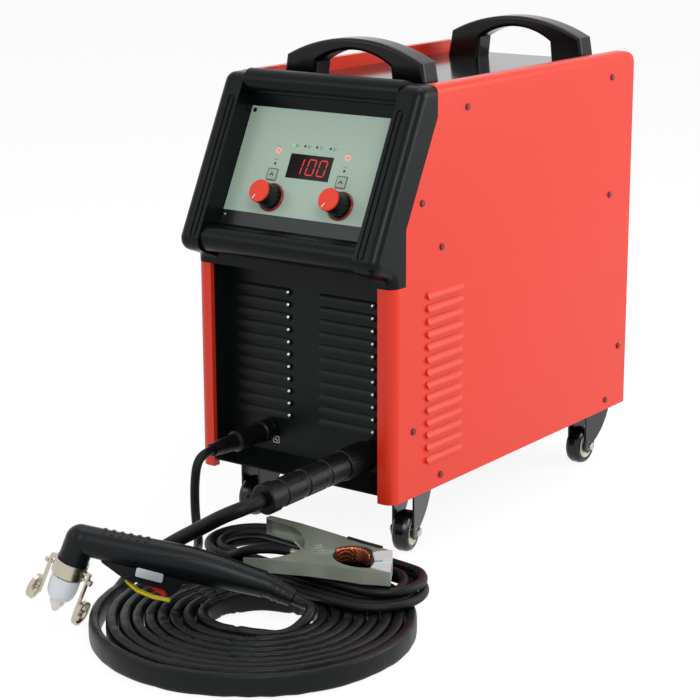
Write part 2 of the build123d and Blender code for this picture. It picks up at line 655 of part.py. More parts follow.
def mains_rocker():
    y = rear_y - sheet
    pts = [(-12.6, 3.4), (-4.5, 1.2), (4.5, 1.2), (12.6, 3.4), (12.6, -1.0), (5, -8), (-5, -8), (-12.6, -1.0)]
    face = make_face(Polyline([(px, py, 0) for px, py in pts], close=True))
    rocker = Pos(0, 0, -9.1) * extrude(face, 18.2)
    rocker += Pos(0, 0, 0) * Cylinder(1.2, 20.4)
    return Pos(switch_x, y - 3, switch_z) * Rot(0, 0, rocker_angle) * rocker


def mains_gland():
    """Cable gland: body and lock nut through the rear panel, domed cap outside."""
    y0, y1 = rear_y - 2 * sheet, rear_y - sheet
    spin = Pos(gland_x, y1, gland_z) * Rot(-90, 0, 0)
    outside = extrude(RegularPolygon(15, 6), 7)
    dome = Pos(0, 0, 7) * Cone(12.5, 9.5, 15, align=(Align.CENTER, Align.CENTER, Align.MIN))
    thread = Pos(0, 0, -15) * Cylinder(11, 15.5, align=(Align.CENTER, Align.CENTER, Align.MIN))
    lock = Pos(0, 0, -sheet - 5.1) * extrude(RegularPolygon(14.5, 6), 5)
    body = outside + dome + thread + lock
    return spin * (body - Cylinder(6.5, 80))


def air_valve():
    """Hose tail and elbow outside, solenoid valve body and coil inside."""
    y0, y1 = rear_y - 2 * sheet, rear_y - sheet
    spin = Pos(air_x, y1, air_z) * Rot(-90, 0, 0)
    tail = extrude(RegularPolygon(10, 6), 8)
    tail += Pos(0, 0, 8) * Cylinder(4.2, 24, align=(Align.CENTER, Align.CENTER, Align.MIN))
    for i in range(3):
        tail += Pos(0, 0, 12 + 6 * i) * Cone(5.3, 4.2, 5, align=(Align.CENTER, Align.CENTER, Align.MIN))
    tail += Pos(0, 0, -sheet - 12) * Cylinder(7, 13.6, align=(Align.CENTER, Align.CENTER, Align.MIN))
    tail -= Cylinder(2.5, 90)
    outside = spin * tail
    body = block(air_x - 14, air_x + 14, y0 - 48, y0 - 9, air_z - 14, air_z + 14)
    coil = Pos(air_x, y0 - 28, air_z + 14) * Cylinder(16, 36, align=(Align.CENTER, Align.CENTER, Align.MIN))
    return outside + body + coil


# ================================================================ connectors on the front
def earth_socket():
    spin = Pos(earth_x, louvre_y, earth_z) * Rot(90, 0, 0)
    flange = Cylinder(11.8, 4, align=(Align.CENTER, Align.CENTER, Align.MIN))
    flange = chamfer(flange.faces().sort_by(Axis.Z)[-1].edges(), 1)
    body = Pos(0, 0, -22) * Cylinder(10, 24, align=(Align.CENTER, Align.CENTER, Align.MIN))
    nut = Pos(0, 0, -sheet - 6.0) * extrude(RegularPolygon(15, 6), 6)
    socket = flange + body + nut
    return spin * (socket - Pos(0, 0, -6) * Cylinder(6.5, 24))


def earth_plug():
    """Bayonet plug in a ribbed rubber sleeve that tapers down to the cable."""
    spin = Pos(earth_x, louvre_y - 4.3, earth_z) * Rot(90, 0, 0)
    long = earth_plug_length
    r = earth_lead_diameter / 2
    pts = [(0, -16), (6.4, -16), (6.4, 0), (12.5, 0), (13.5, 2), (13.5, 14), (11.8, 16), (11.8, 38), (12.6, 40),
           (12.6, 62), (10.5, 66), (r + 2.6, long - 6), (r + 2.2, long), (0, long)]
    plug = revolve(make_face(Polyline([(a, 0, b) for a, b in pts], close=True)), Axis.Z)
    for i in range(6):
        groove = Pos(0, 0, 70 + 4.2 * i) * (Cylinder(14, 1.2) - Cylinder(r + 2.0 - 0.0 * i, 1.2))
        plug -= groove
    grips = PolarLocations(14.2, 10)
    plug -= [loc * Pos(0, 0, 51) * Cylinder(2.4, 19) for loc in grips]
    return spin * plug


coupling_dir = Vector(-sin(radians(torch_yaw)) * cos(radians(torch_droop)),
                      -cos(radians(torch_yaw)) * cos(radians(torch_droop)), -sin(radians(torch_droop)))
coupling_base = Vector(torch_x, louvre_y, torch_z)


def on_coupling(distance):
    return Plane(origin=coupling_base + coupling_dir * distance, x_dir=(1, 0, 0), z_dir=coupling_dir).location


def torch_socket():
    """Panel socket for the torch: flange on the panel, collar and stud on the coupling's axis."""
    spin = Pos(torch_x, louvre_y, torch_z) * Rot(90, 0, 0)
    flange = spin * Cylinder(17, 3.0, align=(Align.CENTER, Align.CENTER, Align.MIN))
    inner = spin * Pos(0, 0, -24) * Cylinder(13, 25, align=(Align.CENTER, Align.CENTER, Align.MIN))
    collar = on_coupling(0) * Cylinder(15.5, coupling_start - fit_gap, align=(Align.CENTER, Align.CENTER, Align.MIN))
    collar -= block(0, 200, louvre_y - 0.01, 0, 0, 300)
    stud = on_coupling(10) * Cylinder(9, 26, align=(Align.CENTER, Align.CENTER, Align.MIN))
    return flange + inner + collar + stud


def coupling_nut():
    long = coupling_end - coupling_start
    nut = Cylinder(18.6, long, align=(Align.CENTER, Align.CENTER, Align.MIN))
    nut = chamfer(nut.faces().filter_by(Axis.Z).edges(), 1.4)
    nut -= [loc * Pos(0, 0, long / 2 + 3) * Cylinder(1.3, long - 12) for loc in PolarLocations(19.0, 26)]
    nut -= Cylinder(9 + pin_clearance * 2, 40)
    nut -= Pos(0, 0, 20) * Cylinder(12 + pin_clearance * 2, 40, align=(Align.CENTER, Align.CENTER, Align.MIN))
    return on_coupling(coupling_start) * nut


def plug_sleeve():
    """Ribbed grip sleeve behind the coupling nut, with long slots and an end collar."""
    start = coupling_end + fit_gap
    long = sleeve_end - start
    spigot = Pos(0, 0, -20) * Cylinder(12, 21, align=(Align.CENTER, Align.CENTER, Align.MIN))
    pts = [(0, 0), (15.5, 0), (16.8, 2), (16.8, 30), (15.6, 32), (15.6, 36), (16.8, 38), (16.8, 66), (15.6, 68),
           (15.6, 72), (16.8, 74), (16.8, 102), (15.8, 104), (15.8, 112), (18.0, 114), (18.0, long - 1.5),
           (16.5, long), (0, long)]
    body = revolve(make_face(Polyline([(a, 0, b) for a, b in pts], close=True)), Axis.Z)
    for row in range(3):
        middle = 16 + 36 * row
        for loc in PolarLocations(17.2, 8):
            body -= loc * Pos(0, 0, middle) * Box(2.4, 4.0, 22)
    return on_coupling(0) * Pos(0, 0, start) * (spigot + body)


# ================================================================ cords
def corner_radii(points):
    """Bend radius at each inner point: 0.45 of the shorter run over the tangent of half the turn."""
    radii = []
    for a, b, c in zip(points, points[1:], points[2:]):
        u, v = Vector(*b) - Vector(*a), Vector(*c) - Vector(*b)
        turn = radians(u.get_angle(v))
        radii.append(0.45 * min(u.length, v.length) / tan(turn / 2))
    return radii


def cord(name, points, diameter):
    """Round tube along straight runs joined by tangent arcs."""
    radii = corner_radii(points)
    path = FilletPolyline(*points, radius=radii)
    start = Plane(origin=path @ 0, z_dir=path % 0)
    tube = sweep(start.location * Circle(diameter / 2), path=path)
    ideal = pi * diameter ** 2 / 4 * path.length
    print(name, "length", round(path.length), "radii", [round(r) for r in radii],
          "volume ratio", round(tube.volume / ideal, 4))
    return tube


def torch_point(along, up, side=0.0):
    """A point in the torch's own frame, as a Vector in the shared one."""
    return torch_frame.from_local_coords(Vector(along, side, up))


heading, tilt = radians(torch_heading), radians(torch_tilt)
torch_frame = Plane(origin=torch_origin,
                    x_dir=(-cos(heading) * cos(tilt), -sin(heading) * cos(tilt), sin(tilt)),
                    z_dir=(cos(heading) * sin(tilt), sin(heading) * sin(tilt), cos(tilt)))
tail_frame = Plane(origin=(0, 0, tail_rise), x_dir=(cos(radians(boot_bend)), 0, sin(radians(boot_bend))),
                   z_dir=(-sin(radians(boot_bend)), 0, cos(radians(boot_bend))))
coil_z = sleeve_height / 2
coil_start_angle = radians(coil_start_degrees)
first_radius = coil_radius + coil_flare
coil_start = Vector(coil_centre[0] - coil_flare + first_radius * cos(coil_start_angle),
                    coil_centre[1] + first_radius * sin(coil_start_angle), coil_z)
coil_start_dir = Vector(-sin(coil_start_angle), cos(coil_start_angle), 0)
coil_reach = coil_radius - coil_pitch / 2 * (coil_half_turns + 1)
coil_end = Vector(coil_centre[0] - coil_reach + coil_inner_radius * (1 + cos(radians(45))),
                  coil_centre[1] - coil_inner_radius * sin(radians(45)), coil_z)
coil_end_dir = Vector(cos(radians(45)), sin(radians(45)), 0)
coil_lead_in = coil_start - coil_start_dir * sleeve_thickness
coil_lead_out = coil_end + coil_end_dir * sleeve_thickness
sleeve_tip = coupling_base + coupling_dir * sleeve_end


def torch_lead_route():
    """From the sleeve, down over the floor, to the outer turn of the coil."""
    first = sleeve_tip + coupling_dir * 26
    last = coil_lead_in - coil_start_dir * 20
    return [tuple(sleeve_tip), tuple(first), (48, -466, 100), (20, -470, 82), (-8, -473, 65), (-32, -484, 48),
            (-44, -505, 33), (-45, -528, 19), tuple(last), tuple(coil_lead_in)]


def torch_tail_route():
    """From the inner turn of the coil, up into the boot of the torch."""
    bend = radians(boot_bend)
    last, before = [torch_point(-run * cos(bend), tail_rise - run * sin(bend)) for run in (boot_length, boot_length + 8)]
    first = coil_lead_out + coil_end_dir * 9
    return [tuple(coil_lead_out), tuple(first), (191, -527, 17), (195, -512, 24), (195, -500, 30), (188, -489, 33),
            tuple(before), tuple(last)]


def torch_lead_coil():
    """Flat sleeve wound on edge in one layer, as half turns about two alternating centres."""
    cx, cy = coil_centre
    arcs = [Line(coil_lead_in, coil_start)]
    arcs.append(CenterArc((cx - coil_flare, cy, coil_z), first_radius, coil_start_degrees, 360 - coil_start_degrees))
    points = [(cx - coil_flare + first_radius * cos(radians(a)), cy + first_radius * sin(radians(a)))
              for a in range(coil_start_degrees, 360, 8)]
    reach = cx + coil_radius
    for k in range(1, coil_half_turns + 1):
        radius = coil_radius - coil_pitch / 2 * k
        begin = 0 if k % 2 else 180
        centre = reach - radius if k % 2 else reach + radius
        arcs.append(CenterArc((centre, cy, coil_z), radius, begin, 180))
        points += [(centre + radius * cos(radians(a)), cy + radius * sin(radians(a)))
                   for a in range(begin, begin + 180, 9)]
        reach = centre - radius if k % 2 else centre + radius
    arcs.append(CenterArc((reach + coil_inner_radius, cy, coil_z), coil_inner_radius, 180, 135))
    arcs.append(Line(coil_end, coil_lead_out))
    w, h, c = sleeve_thickness / 2, sleeve_height / 2, 3.0
    band = Polygon((-w, -h + c), (-w + c, -h), (w - c, -h), (w, -h + c), (w, h - c), (w - c, h), (-w + c, h),
                   (-w, h - c), align=None)
    path = Wire(arcs)
    start = Plane(origin=coil_lead_in, x_dir=coil_start_dir.cross(Vector(0, 0, 1)), z_dir=coil_start_dir)
    coil = sweep(start.location * band, path=path)
    gap = min(hypot(a[0] - b[0], a[1] - b[1]) for i, a in enumerate(points) for b in points[i + 12:])
    print("torch_lead_coil length", round(path.length), "least gap", round(gap - sleeve_thickness, 2),
          "volume ratio", round(coil.volume / (band.area * path.length), 4))
    return coil


earth_frame = Plane(origin=(*earth_coil_centre, 0), x_dir=(cos(radians(earth_coil_angle)),
                                                           sin(radians(earth_coil_angle)), 0), z_dir=(0, 0, 1))
earth_low = sleeve_height + fit_gap + earth_lead_diameter / 2


def earth_turns():
    """Runs and half turns of the earth lead: spiral in below, climb, and spiral out on top."""
    half, step = earth_coil_run / 2, earth_strand / 2
    levels = [earth_coil_reach - step * i for i in range(earth_inward + 2)]
    levels += levels[-3:0:-1]
    pieces, here = [], Vector(-half, -levels[0], earth_low)
    for i, (level, following) in enumerate(zip(levels, levels[1:])):
        side = 1 if i % 2 == 0 else -1
        outward = step if i > earth_inward and side > 0 else 0.0
        corner = Vector(side * (half + outward), here.Y, here.Z)
        climb = earth_layer if i == earth_inward else 0.0
        end = Vector(corner.X, side * following, here.Z + climb)
        bulge = hypot((level + following) / 2, climb / 2)
        middle = Vector(corner.X + side * bulge, (corner.Y + end.Y) / 2, (corner.Z + end.Z) / 2)
        pieces += [Line(here, corner), ThreePointArc(corner, middle, end)]
        here = end
    return pieces, Vector(-half, -levels[0], earth_low), here


def facet_circle(diameter, sides=8):
    return RegularPolygon(diameter / 2, sides, rotation=180 / sides)


def earth_lead_coil():
    pieces, begin, finish = earth_turns()
    path = Wire(pieces)
    start = Plane(origin=begin, z_dir=(1, 0, 0))
    coil = earth_frame.location * sweep(start.location * facet_circle(earth_lead_diameter), path=path)
    points = [path @ (i / 900) for i in range(901)]
    gap = min((a - b).length for i, a in enumerate(points) for b in points[i + 25:])
    print("earth_lead_coil length", round(path.length), "least gap", round(gap - earth_lead_diameter, 2))
    return coil


def earth_lead_route():
    tip = louvre_y - 4.3 - earth_plug_length
    start = earth_turns()[1]
    begin = earth_frame.from_local_coords(start)
    into = earth_frame.from_local_coords(start - Vector(24, 0, 0))
    return [(earth_x, tip, earth_z), (earth_x, tip - 14, earth_z), (-65, -376, 119), (-66, -380, 97),
            (-66, -381, 71), (-62, -384, 47), (-52, -392, 32), (-39, -408, 27), (-27, -427, 31), tuple(into),
            tuple(begin)]


def earth_tail_route():
    """From the top layer of the coil to the lug inside the clamp."""
    finish = earth_turns()[2]
    leave = earth_frame.from_local_coords(finish + Vector(13, 0, 0))
    over = earth_frame.from_local_coords(finish + Vector(36, 1, 14))
    end = clamp_point(-lug_reach, lug_y)
    before = clamp_point(-lug_reach - 20, lug_y)
    return [tuple(earth_frame.from_local_coords(finish)), tuple(leave), tuple(over), tuple(before), tuple(end)]


clamp_frame = Plane(origin=clamp_place, x_dir=(1, 0, 0), z_dir=(0, 0, 1))


def clamp_point(x, y, z=0.0):
    return clamp_frame.from_local_coords(Vector(x, y, z))


def channel(edge, depth, inward):
    """Pressed channel: the outline's two side plates, joined by a web along the edge that inward points away from."""
    face = make_face(edge)
    side = extrude(face, depth / 2, both=True, dir=(0, 0, 1))
    return side - Pos(0, inward * jaw_plate, 0) * extrude(face, depth / 2 - jaw_plate, both=True, dir=(0, 0, 1))


def plate_block(points, depth):
    return extrude(make_face(Polyline([(x, y, 0) for x, y in points], close=True)), depth / 2, both=True, dir=(0, 0, 1))


def far_jaw():
    """Outer jaw: a long grip, the rivet's ears, one side of the oval mouth and its contact block."""
    (ax, ay), (bx, by) = contact_line
    edge = [Line((-104, 41), (-103, 48.5)), Line((-103, 48.5), (-60, 48)), ThreePointArc((-60, 48), (-8, 42.4), (40, 36)),
            Line((40, 36), (78, 34)), Line((78, 34), (ax, ay)), Line((ax, ay), (bx, by)), Line((bx, by), (64, 15)),
            ThreePointArc((64, 15), (38, 28), (21, 2)), ThreePointArc((21, 2), (2, -13.5), (-15, -2)),
            ThreePointArc((-15, -2), (-34, 18), (-60, 36)), Line((-60, 36), (-104, 41))]
    inside = jaw_depth / 2 - jaw_plate
    jaw = channel(edge, jaw_depth, -1) - block(-30, 70, -16, 31, -inside, inside)
    jaw += plate_block([(78, 33), (ax, ay), (bx, by), (65, 14.5), (66, 22)], jaw_depth - 1)
    return clamp_frame.location * (jaw - Cylinder(rivet_radius + pin_clearance, 60))


def near_jaw():
    """Inner jaw, nested between the plates of the other, with the cable lug and the pivot rivet."""
    depth = jaw_depth - 2 * jaw_plate - 2 * fit_gap
    run = hypot(contact_line[1][0] - contact_line[0][0], contact_line[1][1] - contact_line[0][1])
    dx = (contact_line[0][1] - contact_line[1][1]) / run * fit_gap * 1.3
    dy = (contact_line[1][0] - contact_line[0][0]) / run * fit_gap * 1.3
    (ax, ay), (bx, by) = [(x + dx, y + dy) for x, y in contact_line]
    edge = [Line((-46, -73), (22, -46)), ThreePointArc((22, -46), (56, -36.8), (84, -31)), Line((84, -31), (112, -18)),
            Line((112, -18), (ax, ay)), Line((ax, ay), (bx, by)), Line((bx, by), (86, -19)),
            ThreePointArc((86, -19), (56, -26.5), (25, -4)), ThreePointArc((25, -4), (0, 12.5), (-14, -4)),
            ThreePointArc((-14, -4), (-11, -34), (-22, -60)), Line((-22, -60), (-46, -73))]
    inside = depth / 2 - jaw_plate
    jaw = channel(edge, depth, 1) - block(-16, 82, -28, 14, -inside, inside)
    jaw += plate_block([(86, -18.5), (111, -17.5), (ax, ay), (bx, by)], depth - 1)
    lug = rod((-lug_reach, lug_y, 0), (-lug_reach + 12, lug_y, 0), 4.0)
    lug += block(-lug_reach + 8, -6, lug_y - 4, lug_y + 4, -depth / 2, 0)
    rivet = Cylinder(rivet_radius, jaw_depth + 1)
    rivet += [Pos(0, 0, s * (jaw_depth / 2 + fit_gap + 1)) * Cylinder(6, 2) for s in (-1, 1)]
    return clamp_frame.location * (jaw + lug + rivet)


# ================================================================ torch
def in_torch(shape):
    """Place a shape drawn with x toward the head and z away from the trigger side."""
    return torch_frame.location * shape


def on_head(shape):
    """Place a shape drawn about the head's own axis, z down from the grip being negative."""
    return Pos(head_x, 0, 0) * Rot(0, -head_lean, 0) * shape


def torch_handle():
    """Moulded grip with its knee and neck, the trigger fin, the finger ribs and the stepped boot at the tail."""
    def ring(x, low, high, wide):
        return Plane(origin=(x, 0, (low + high) / 2), x_dir=(0, 1, 0), z_dir=(1, 0, 0)) * Ellipse(wide, (high - low) / 2)

    def rib(x):
        (x0, _, high0, wide0), (x1, _, high1, wide1) = next(
            pair for pair in zip(grip_sections, grip_sections[1:]) if pair[0][0] <= x <= pair[1][0])
        share = (x - x0) / (x1 - x0)
        high, wide = high0 + (high1 - high0) * share, wide0 + (wide1 - wide0) * share
        hoop = extrude(ring(x - 1.6, -14, high + 1.1, wide + 0.5), 3.2, dir=(1, 0, 0))
        return hoop & block(x - 2, x + 2, -8, 8, 6, 40)
    grip = loft([ring(*section) for section in grip_sections])
    knee = Pos(head_x, 0, 0) * Sphere(neck_radius)
    neck = on_head(Pos(0, 0, -neck_end / 2) * Cylinder(neck_radius, neck_end))
    fin_line = [(181, 0, -8), (176, 0, -16.5), (148, 0, -28.6), (131, 0, -28.6), (104, 0, -28.6), (98, 0, -34), (91, 0, -29),
                (85, 0, -17), (72, 0, -12), (80, 0, -4)]
    fin = extrude(make_face(Polyline(fin_line, close=True)), 8.5, both=True, dir=(0, 1, 0))
    boot = Cone(12.6, 9.6, boot_length, align=(Align.CENTER, Align.CENTER, Align.MIN)) + Cylinder(13.0, 12)
    boot += [Pos(0, 0, 14 + 7 * i) * Cylinder(12.2 - 0.75 * i, 3.5) for i in range(2)]
    handle = grip + knee + neck + fin + tail_frame.location * Rot(0, -90, 0) * boot
    for x in rib_places:
        handle += rib(x)
    handle -= block(95, 138, -4.6, 4.6, -45, -19) + block(137, 153, -4.6, 4.6, -45, -22)
    handle -= on_head(Pos(0, 0, -40) * Cylinder(body_radius + fit_gap, 40))
    for x, z in (trigger_pivot, safety_pivot):
        handle -= rod((x, -20, z), (x, 20, z), pivot_radius + pin_clearance)
    return in_torch(handle)


def torch_trigger():
    """Trigger in the slot of the fin, hinged at its front end."""
    x, z = trigger_pivot
    line = [(x + 2.6, z + 1.6), (x + 2.6, z - 2.4), (126, -30), (104, -37.5), (100, -35.5), (99, -31), (101, -24.5)]
    body = extrude(make_face(Polyline([(a, 0, b) for a, b in line], close=True)), 4.2, both=True, dir=(0, 1, 0))
    return in_torch(body + rod((x, -8.4, z), (x, 8.4, z), pivot_radius))


def trigger_safety():
    """Bent lever that lies over the trigger and is squeezed with it."""
    x, z = safety_pivot
    path = FilletPolyline((x, 0, z - 1), (x - 1, 0, -33), (133, 0, -40.8), (115, 0, -43.6), (96, 0, -42.4), radius=7)
    start = Plane(origin=path @ 0, z_dir=path % 0, x_dir=(0, 1, 0))
    bar = sweep(start.location * RectangleRounded(7.0, 3.2, 1.2), path=path)
    hub = rod((x, -4.0, z), (x, 4.0, z), 2.6) + rod((x, -8.4, z), (x, 8.4, z), pivot_radius)
    return in_torch(bar + hub)


def torch_head():
    """Brass body in the head, with the electrode nozzle that shows below the cup."""
    shape = [(0, -20), (body_radius, -20), (body_radius, -49), (5.9, -49), (5.9, -68), (8.6, -70), (8.3, -79),
             (3.0, -88.5), (0, -88.5)]
    body = revolve(make_face(Polyline([(a, 0, b) for a, b in shape], close=True)), Axis.Z)
    return in_torch(on_head(body - Pos(0, 0, -88) * Cylinder(0.7, 20)))


def shield_cup():
    shape = [(12.1, -44.5), (15.9, -44.5), (16.4, -49), (16.0, -58), (13.8, -67), (10.9, -73.5), (9.2, -73.5), (9.2, -66),
             (7.4, -66), (7.4, -50), (12.1, -49.3)]
    return in_torch(on_head(revolve(make_face(Polyline([(a, 0, b) for a, b in shape], close=True)), Axis.Z)))


def guide_ring():
    """Clamp ring round the head with a leg, a stub axle and a thumb screw on each side."""
    ring = Pos(0, 0, -ring_middle) * (Cylinder(neck_radius + 2.1, 17) - Cylinder(neck_radius + fit_gap, 18))
    for s in (-1, 1):
        ring += block(*sorted((s * 17.6, s * (guide_reach - 5.5))), -3, 3, -33, -30.5)
        leg = block(*sorted((s * (guide_reach - 7.5), s * (guide_reach - 5.1))), -3, 3, -guide_drop - 4, -30.5)
        axle = rod((s * (guide_reach - 7.5), 0, -guide_drop), (s * (guide_reach + 3.1), 0, -guide_drop), 2.0)
        head = rod((s * (guide_reach + 2.9), 0, -guide_drop), (s * (guide_reach + 4.3), 0, -guide_drop), 4.0)
        screw = rod((s * 17.5, 0, -39.5), (s * 29.5, 0, -39.5), 1.6) + rod((s * 26.6, 0, -39.5), (s * 30.2, 0, -39.5), 3.4)
        ring += leg + axle + head + screw
    return in_torch(on_head(Rot(0, 0, -guide_turn) * ring))


def guide_wheel(side):
    """Thin dished wheel with four windows, free on the guide's stub axle."""
    s = 1 if side == "far" else -1
    disc = Cylinder(guide_wheel_radius, 4.6) - Pos(0, 0, 1.6) * (Cylinder(guide_wheel_radius - 2.6, 3) - Cylinder(4.2, 3))
    disc -= [loc * Cylinder(2.3, 9) for loc in PolarLocations(8.4, 4)]
    disc -= Cylinder(2.0 + pin_clearance, 9)
    spot = Rot(0, 0, -guide_turn) * Pos(s * guide_reach, 0, -guide_drop) * Rot(0, s * 90, 0)
    return in_torch(on_head(spot * disc))


def build():
    keep("base_pan", base_pan())
    keep("front_panel", front_panel())
    keep("rear_panel", rear_panel())
    keep("top_cover", top_cover())
    keep("right_side_cover", side_cover())
    keep("left_side_cover", mirrored(nodes["right_side_cover"]))
    keep("cover_screws", *cover_screws())

    keep("bezel_frame", bezel_frame())
    keep("right_cheek", cheek())
    keep("left_cheek", mirrored(nodes["right_cheek"]))
    keep("control_panel", control_panel())
    keep("display_window", display_window())
    keep("indicator_leds", *leds())
    keep("control_board", control_board())
    for side in ("left", "right"):
        keep(f"{side}_knob", knob(side))
        keep(f"{side}_select_button", button(side))

    for end, y in handle_places.items():
        keep(f"{end}_handle", top_handle(y))
    plate = caster_plate()
    keep("caster_plates", *[caster_local(name) * plate for name in caster_turn])
    fork, wheel = caster_fork(), caster_wheel()
    for name, turn in caster_turn.items():
        spot = caster_local(name) * Rot(0, 0, turn)
        keep(f"{name}_fork", spot * fork)
        keep(f"{name}_wheel", spot * wheel)

    keep("heat_sink", heat_sink())
    keep("inverter_board", inverter_board())
    keep("transformer", transformer())
    keep("air_valve", air_valve())
    keep("fan_frame", fan_frame())
    keep("fan_rotor", fan_rotor())
    keep("fan_guard", fan_guard())
    keep("mains_switch", mains_switch())
    keep("mains_rocker", mains_rocker())
    keep("mains_gland", mains_gland())

    keep("earth_socket", earth_socket())
    keep("earth_plug", earth_plug())
    keep("torch_socket", torch_socket())
    keep("coupling_nut", coupling_nut())
    keep("plug_sleeve", plug_sleeve())

    keep("torch_lead", cord("torch_lead", torch_lead_route(), lead_diameter))
    keep("torch_lead_coil", torch_lead_coil())
    keep("torch_tail", cord("torch_tail", torch_tail_route(), tail_diameter))
    keep("torch_handle", torch_handle())
    keep("torch_trigger", torch_trigger())
    keep("trigger_safety", trigger_safety())
    keep("torch_head", torch_head())
    keep("shield_cup", shield_cup())
    keep("guide_ring", guide_ring())
    keep("near_guide_wheel", guide_wheel("near"))
    keep("far_guide_wheel", guide_wheel("far"))

    keep("earth_lead", cord("earth_lead", earth_lead_route(), earth_lead_diameter))
    keep("earth_lead_coil", earth_lead_coil())
    keep("earth_tail", cord("earth_tail", earth_tail_route(), earth_lead_diameter))
    keep("far_jaw", far_jaw())
    keep("near_jaw", near_jaw())


if __name__ == "__main__":
    build()
    for name, shape in nodes.items():
        export_step(shape, f"parts/{name}.step")
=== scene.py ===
import json
import math

import bpy
import numpy as np
from mathutils import Matrix, Vector


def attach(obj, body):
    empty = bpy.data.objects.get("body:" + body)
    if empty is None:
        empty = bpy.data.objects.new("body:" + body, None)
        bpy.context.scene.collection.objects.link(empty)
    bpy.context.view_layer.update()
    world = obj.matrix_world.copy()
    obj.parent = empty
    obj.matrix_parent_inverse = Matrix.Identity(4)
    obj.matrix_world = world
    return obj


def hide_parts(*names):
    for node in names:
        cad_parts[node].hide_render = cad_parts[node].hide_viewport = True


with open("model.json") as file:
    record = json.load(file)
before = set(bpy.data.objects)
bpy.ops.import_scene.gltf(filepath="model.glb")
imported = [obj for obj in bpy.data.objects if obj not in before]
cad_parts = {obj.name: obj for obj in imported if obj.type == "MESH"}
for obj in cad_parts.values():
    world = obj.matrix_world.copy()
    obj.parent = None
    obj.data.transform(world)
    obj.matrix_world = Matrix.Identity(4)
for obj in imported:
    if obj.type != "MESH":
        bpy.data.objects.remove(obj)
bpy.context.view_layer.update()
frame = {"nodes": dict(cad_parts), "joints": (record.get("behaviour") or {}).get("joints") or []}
print("frame loaded:", len(frame["nodes"]), "nodes")

mm = 0.001


def hexColour(text):
    # sRGB hex to the linear values that the shader works in
    parts = np.array([int(text[i:i + 2], 16) for i in (1, 3, 5)]) / 255
    linear = np.where(parts <= 0.04045, parts / 12.92, ((parts + 0.055) / 1.055) ** 2.4)
    return (*[float(v) for v in linear], 1.0)


def addNode(tree, kind, settings=None, **links):
    # one node with its settings: a link is a socket or a constant, and _0 or Base_Color names its input
    node = tree.nodes.new(kind)
    for key, value in (settings or {}).items():
        setattr(node, key, value)
    for key, value in links.items():
        numbered = key[0] == "_" and key[1:].isdigit()
        socket = node.inputs[int(key[1:]) if numbered else key.replace("_", " ")]
        if isinstance(value, bpy.types.NodeSocket):
            tree.links.new(value, socket)
        else:
            socket.default_value = value
    return node


def newMaterial(name, colour, roughness, metallic=0.0, ior=1.5, coat=0.0, emission=0.0):
    material = bpy.data.materials.new(name)
    material.use_nodes = True
    tree = material.node_tree
    shader = tree.nodes["Principled BSDF"]
    shader.inputs["Base Color"].default_value = hexColour(colour)
    shader.inputs["Roughness"].default_value = roughness
    shader.inputs["Metallic"].default_value = metallic
    if not metallic:
        shader.inputs["IOR"].default_value = ior
    if coat:
        shader.inputs["Coat Weight"].default_value = coat
        shader.inputs["Coat Roughness"].default_value = 0.08
    if emission:
        shader.inputs["Emission Color"].default_value = hexColour(colour)
        shader.inputs["Emission Strength"].default_value = emission
    return material, tree, shader


def grain(tree, shader, sizeMm, depth, distanceMm, detail=2.0, stretch=(1, 1, 1), gloss=0.05):
    # bump of a noise with cells sizeMm across, and roughness drifting by gloss in patches 25 times as wide
    where = addNode(tree, "ShaderNodeTexCoord").outputs["Object"]
    scaled = addNode(tree, "ShaderNodeMapping", Vector=where, Scale=stretch).outputs["Vector"]
    noise = addNode(tree, "ShaderNodeTexNoise", Vector=scaled, Scale=1 / (sizeMm * mm), Detail=detail)
    bump = addNode(tree, "ShaderNodeBump", Height=noise.outputs[0], Strength=depth, Distance=distanceMm * mm)
    tree.links.new(bump.outputs["Normal"], shader.inputs["Normal"])
    rough = shader.inputs["Roughness"].default_value
    handled = addNode(tree, "ShaderNodeTexNoise", Vector=where, Scale=0.04 / (sizeMm * mm), Detail=3.0)
    drift = addNode(tree, "ShaderNodeMapRange", _0=handled.outputs[0], _1=0.3, _2=0.7,
                    _3=rough - gloss, _4=rough + gloss)
    tree.links.new(drift.outputs["Result"], shader.inputs["Roughness"])


def maths(tree, operation, first, second=0.0):
    # one step of arithmetic
    return addNode(tree, "ShaderNodeMath", {"operation": operation}, _0=first, _1=second).outputs[0]


def vectors(tree, operation, first, second=(0, 0, 0)):
    # one step of vector arithmetic; the result is on its own socket, so the node comes back
    return addNode(tree, "ShaderNodeVectorMath", {"operation": operation}, _0=first, _1=second)


def banded(tree, value, steps):
    # constant colour bands: steps is [(lower edge 0..1, hex), ...] along value
    ramp = addNode(tree, "ShaderNodeValToRGB", Fac=value)
    ramp.color_ramp.interpolation = "CONSTANT"
    points = ramp.color_ramp.elements
    while len(points) < len(steps):
        points.new(0.5)
    for point, (edge, colour) in zip(points, steps):
        point.position = edge
        point.color = hexColour(colour)
    return ramp.outputs["Color"]


def along(tree, origin, direction, low, high):
    # how far a point lies along a direction from origin, as 0..1 between low and high (metres)
    where = addNode(tree, "ShaderNodeTexCoord").outputs["Object"]
    offset = vectors(tree, "SUBTRACT", where, tuple(origin)).outputs[0]
    reach = vectors(tree, "DOT_PRODUCT", offset, tuple(direction))
    spread = addNode(tree, "ShaderNodeMapRange", _0=reach.outputs["Value"], _1=low, _2=high)
    return spread.outputs["Result"]


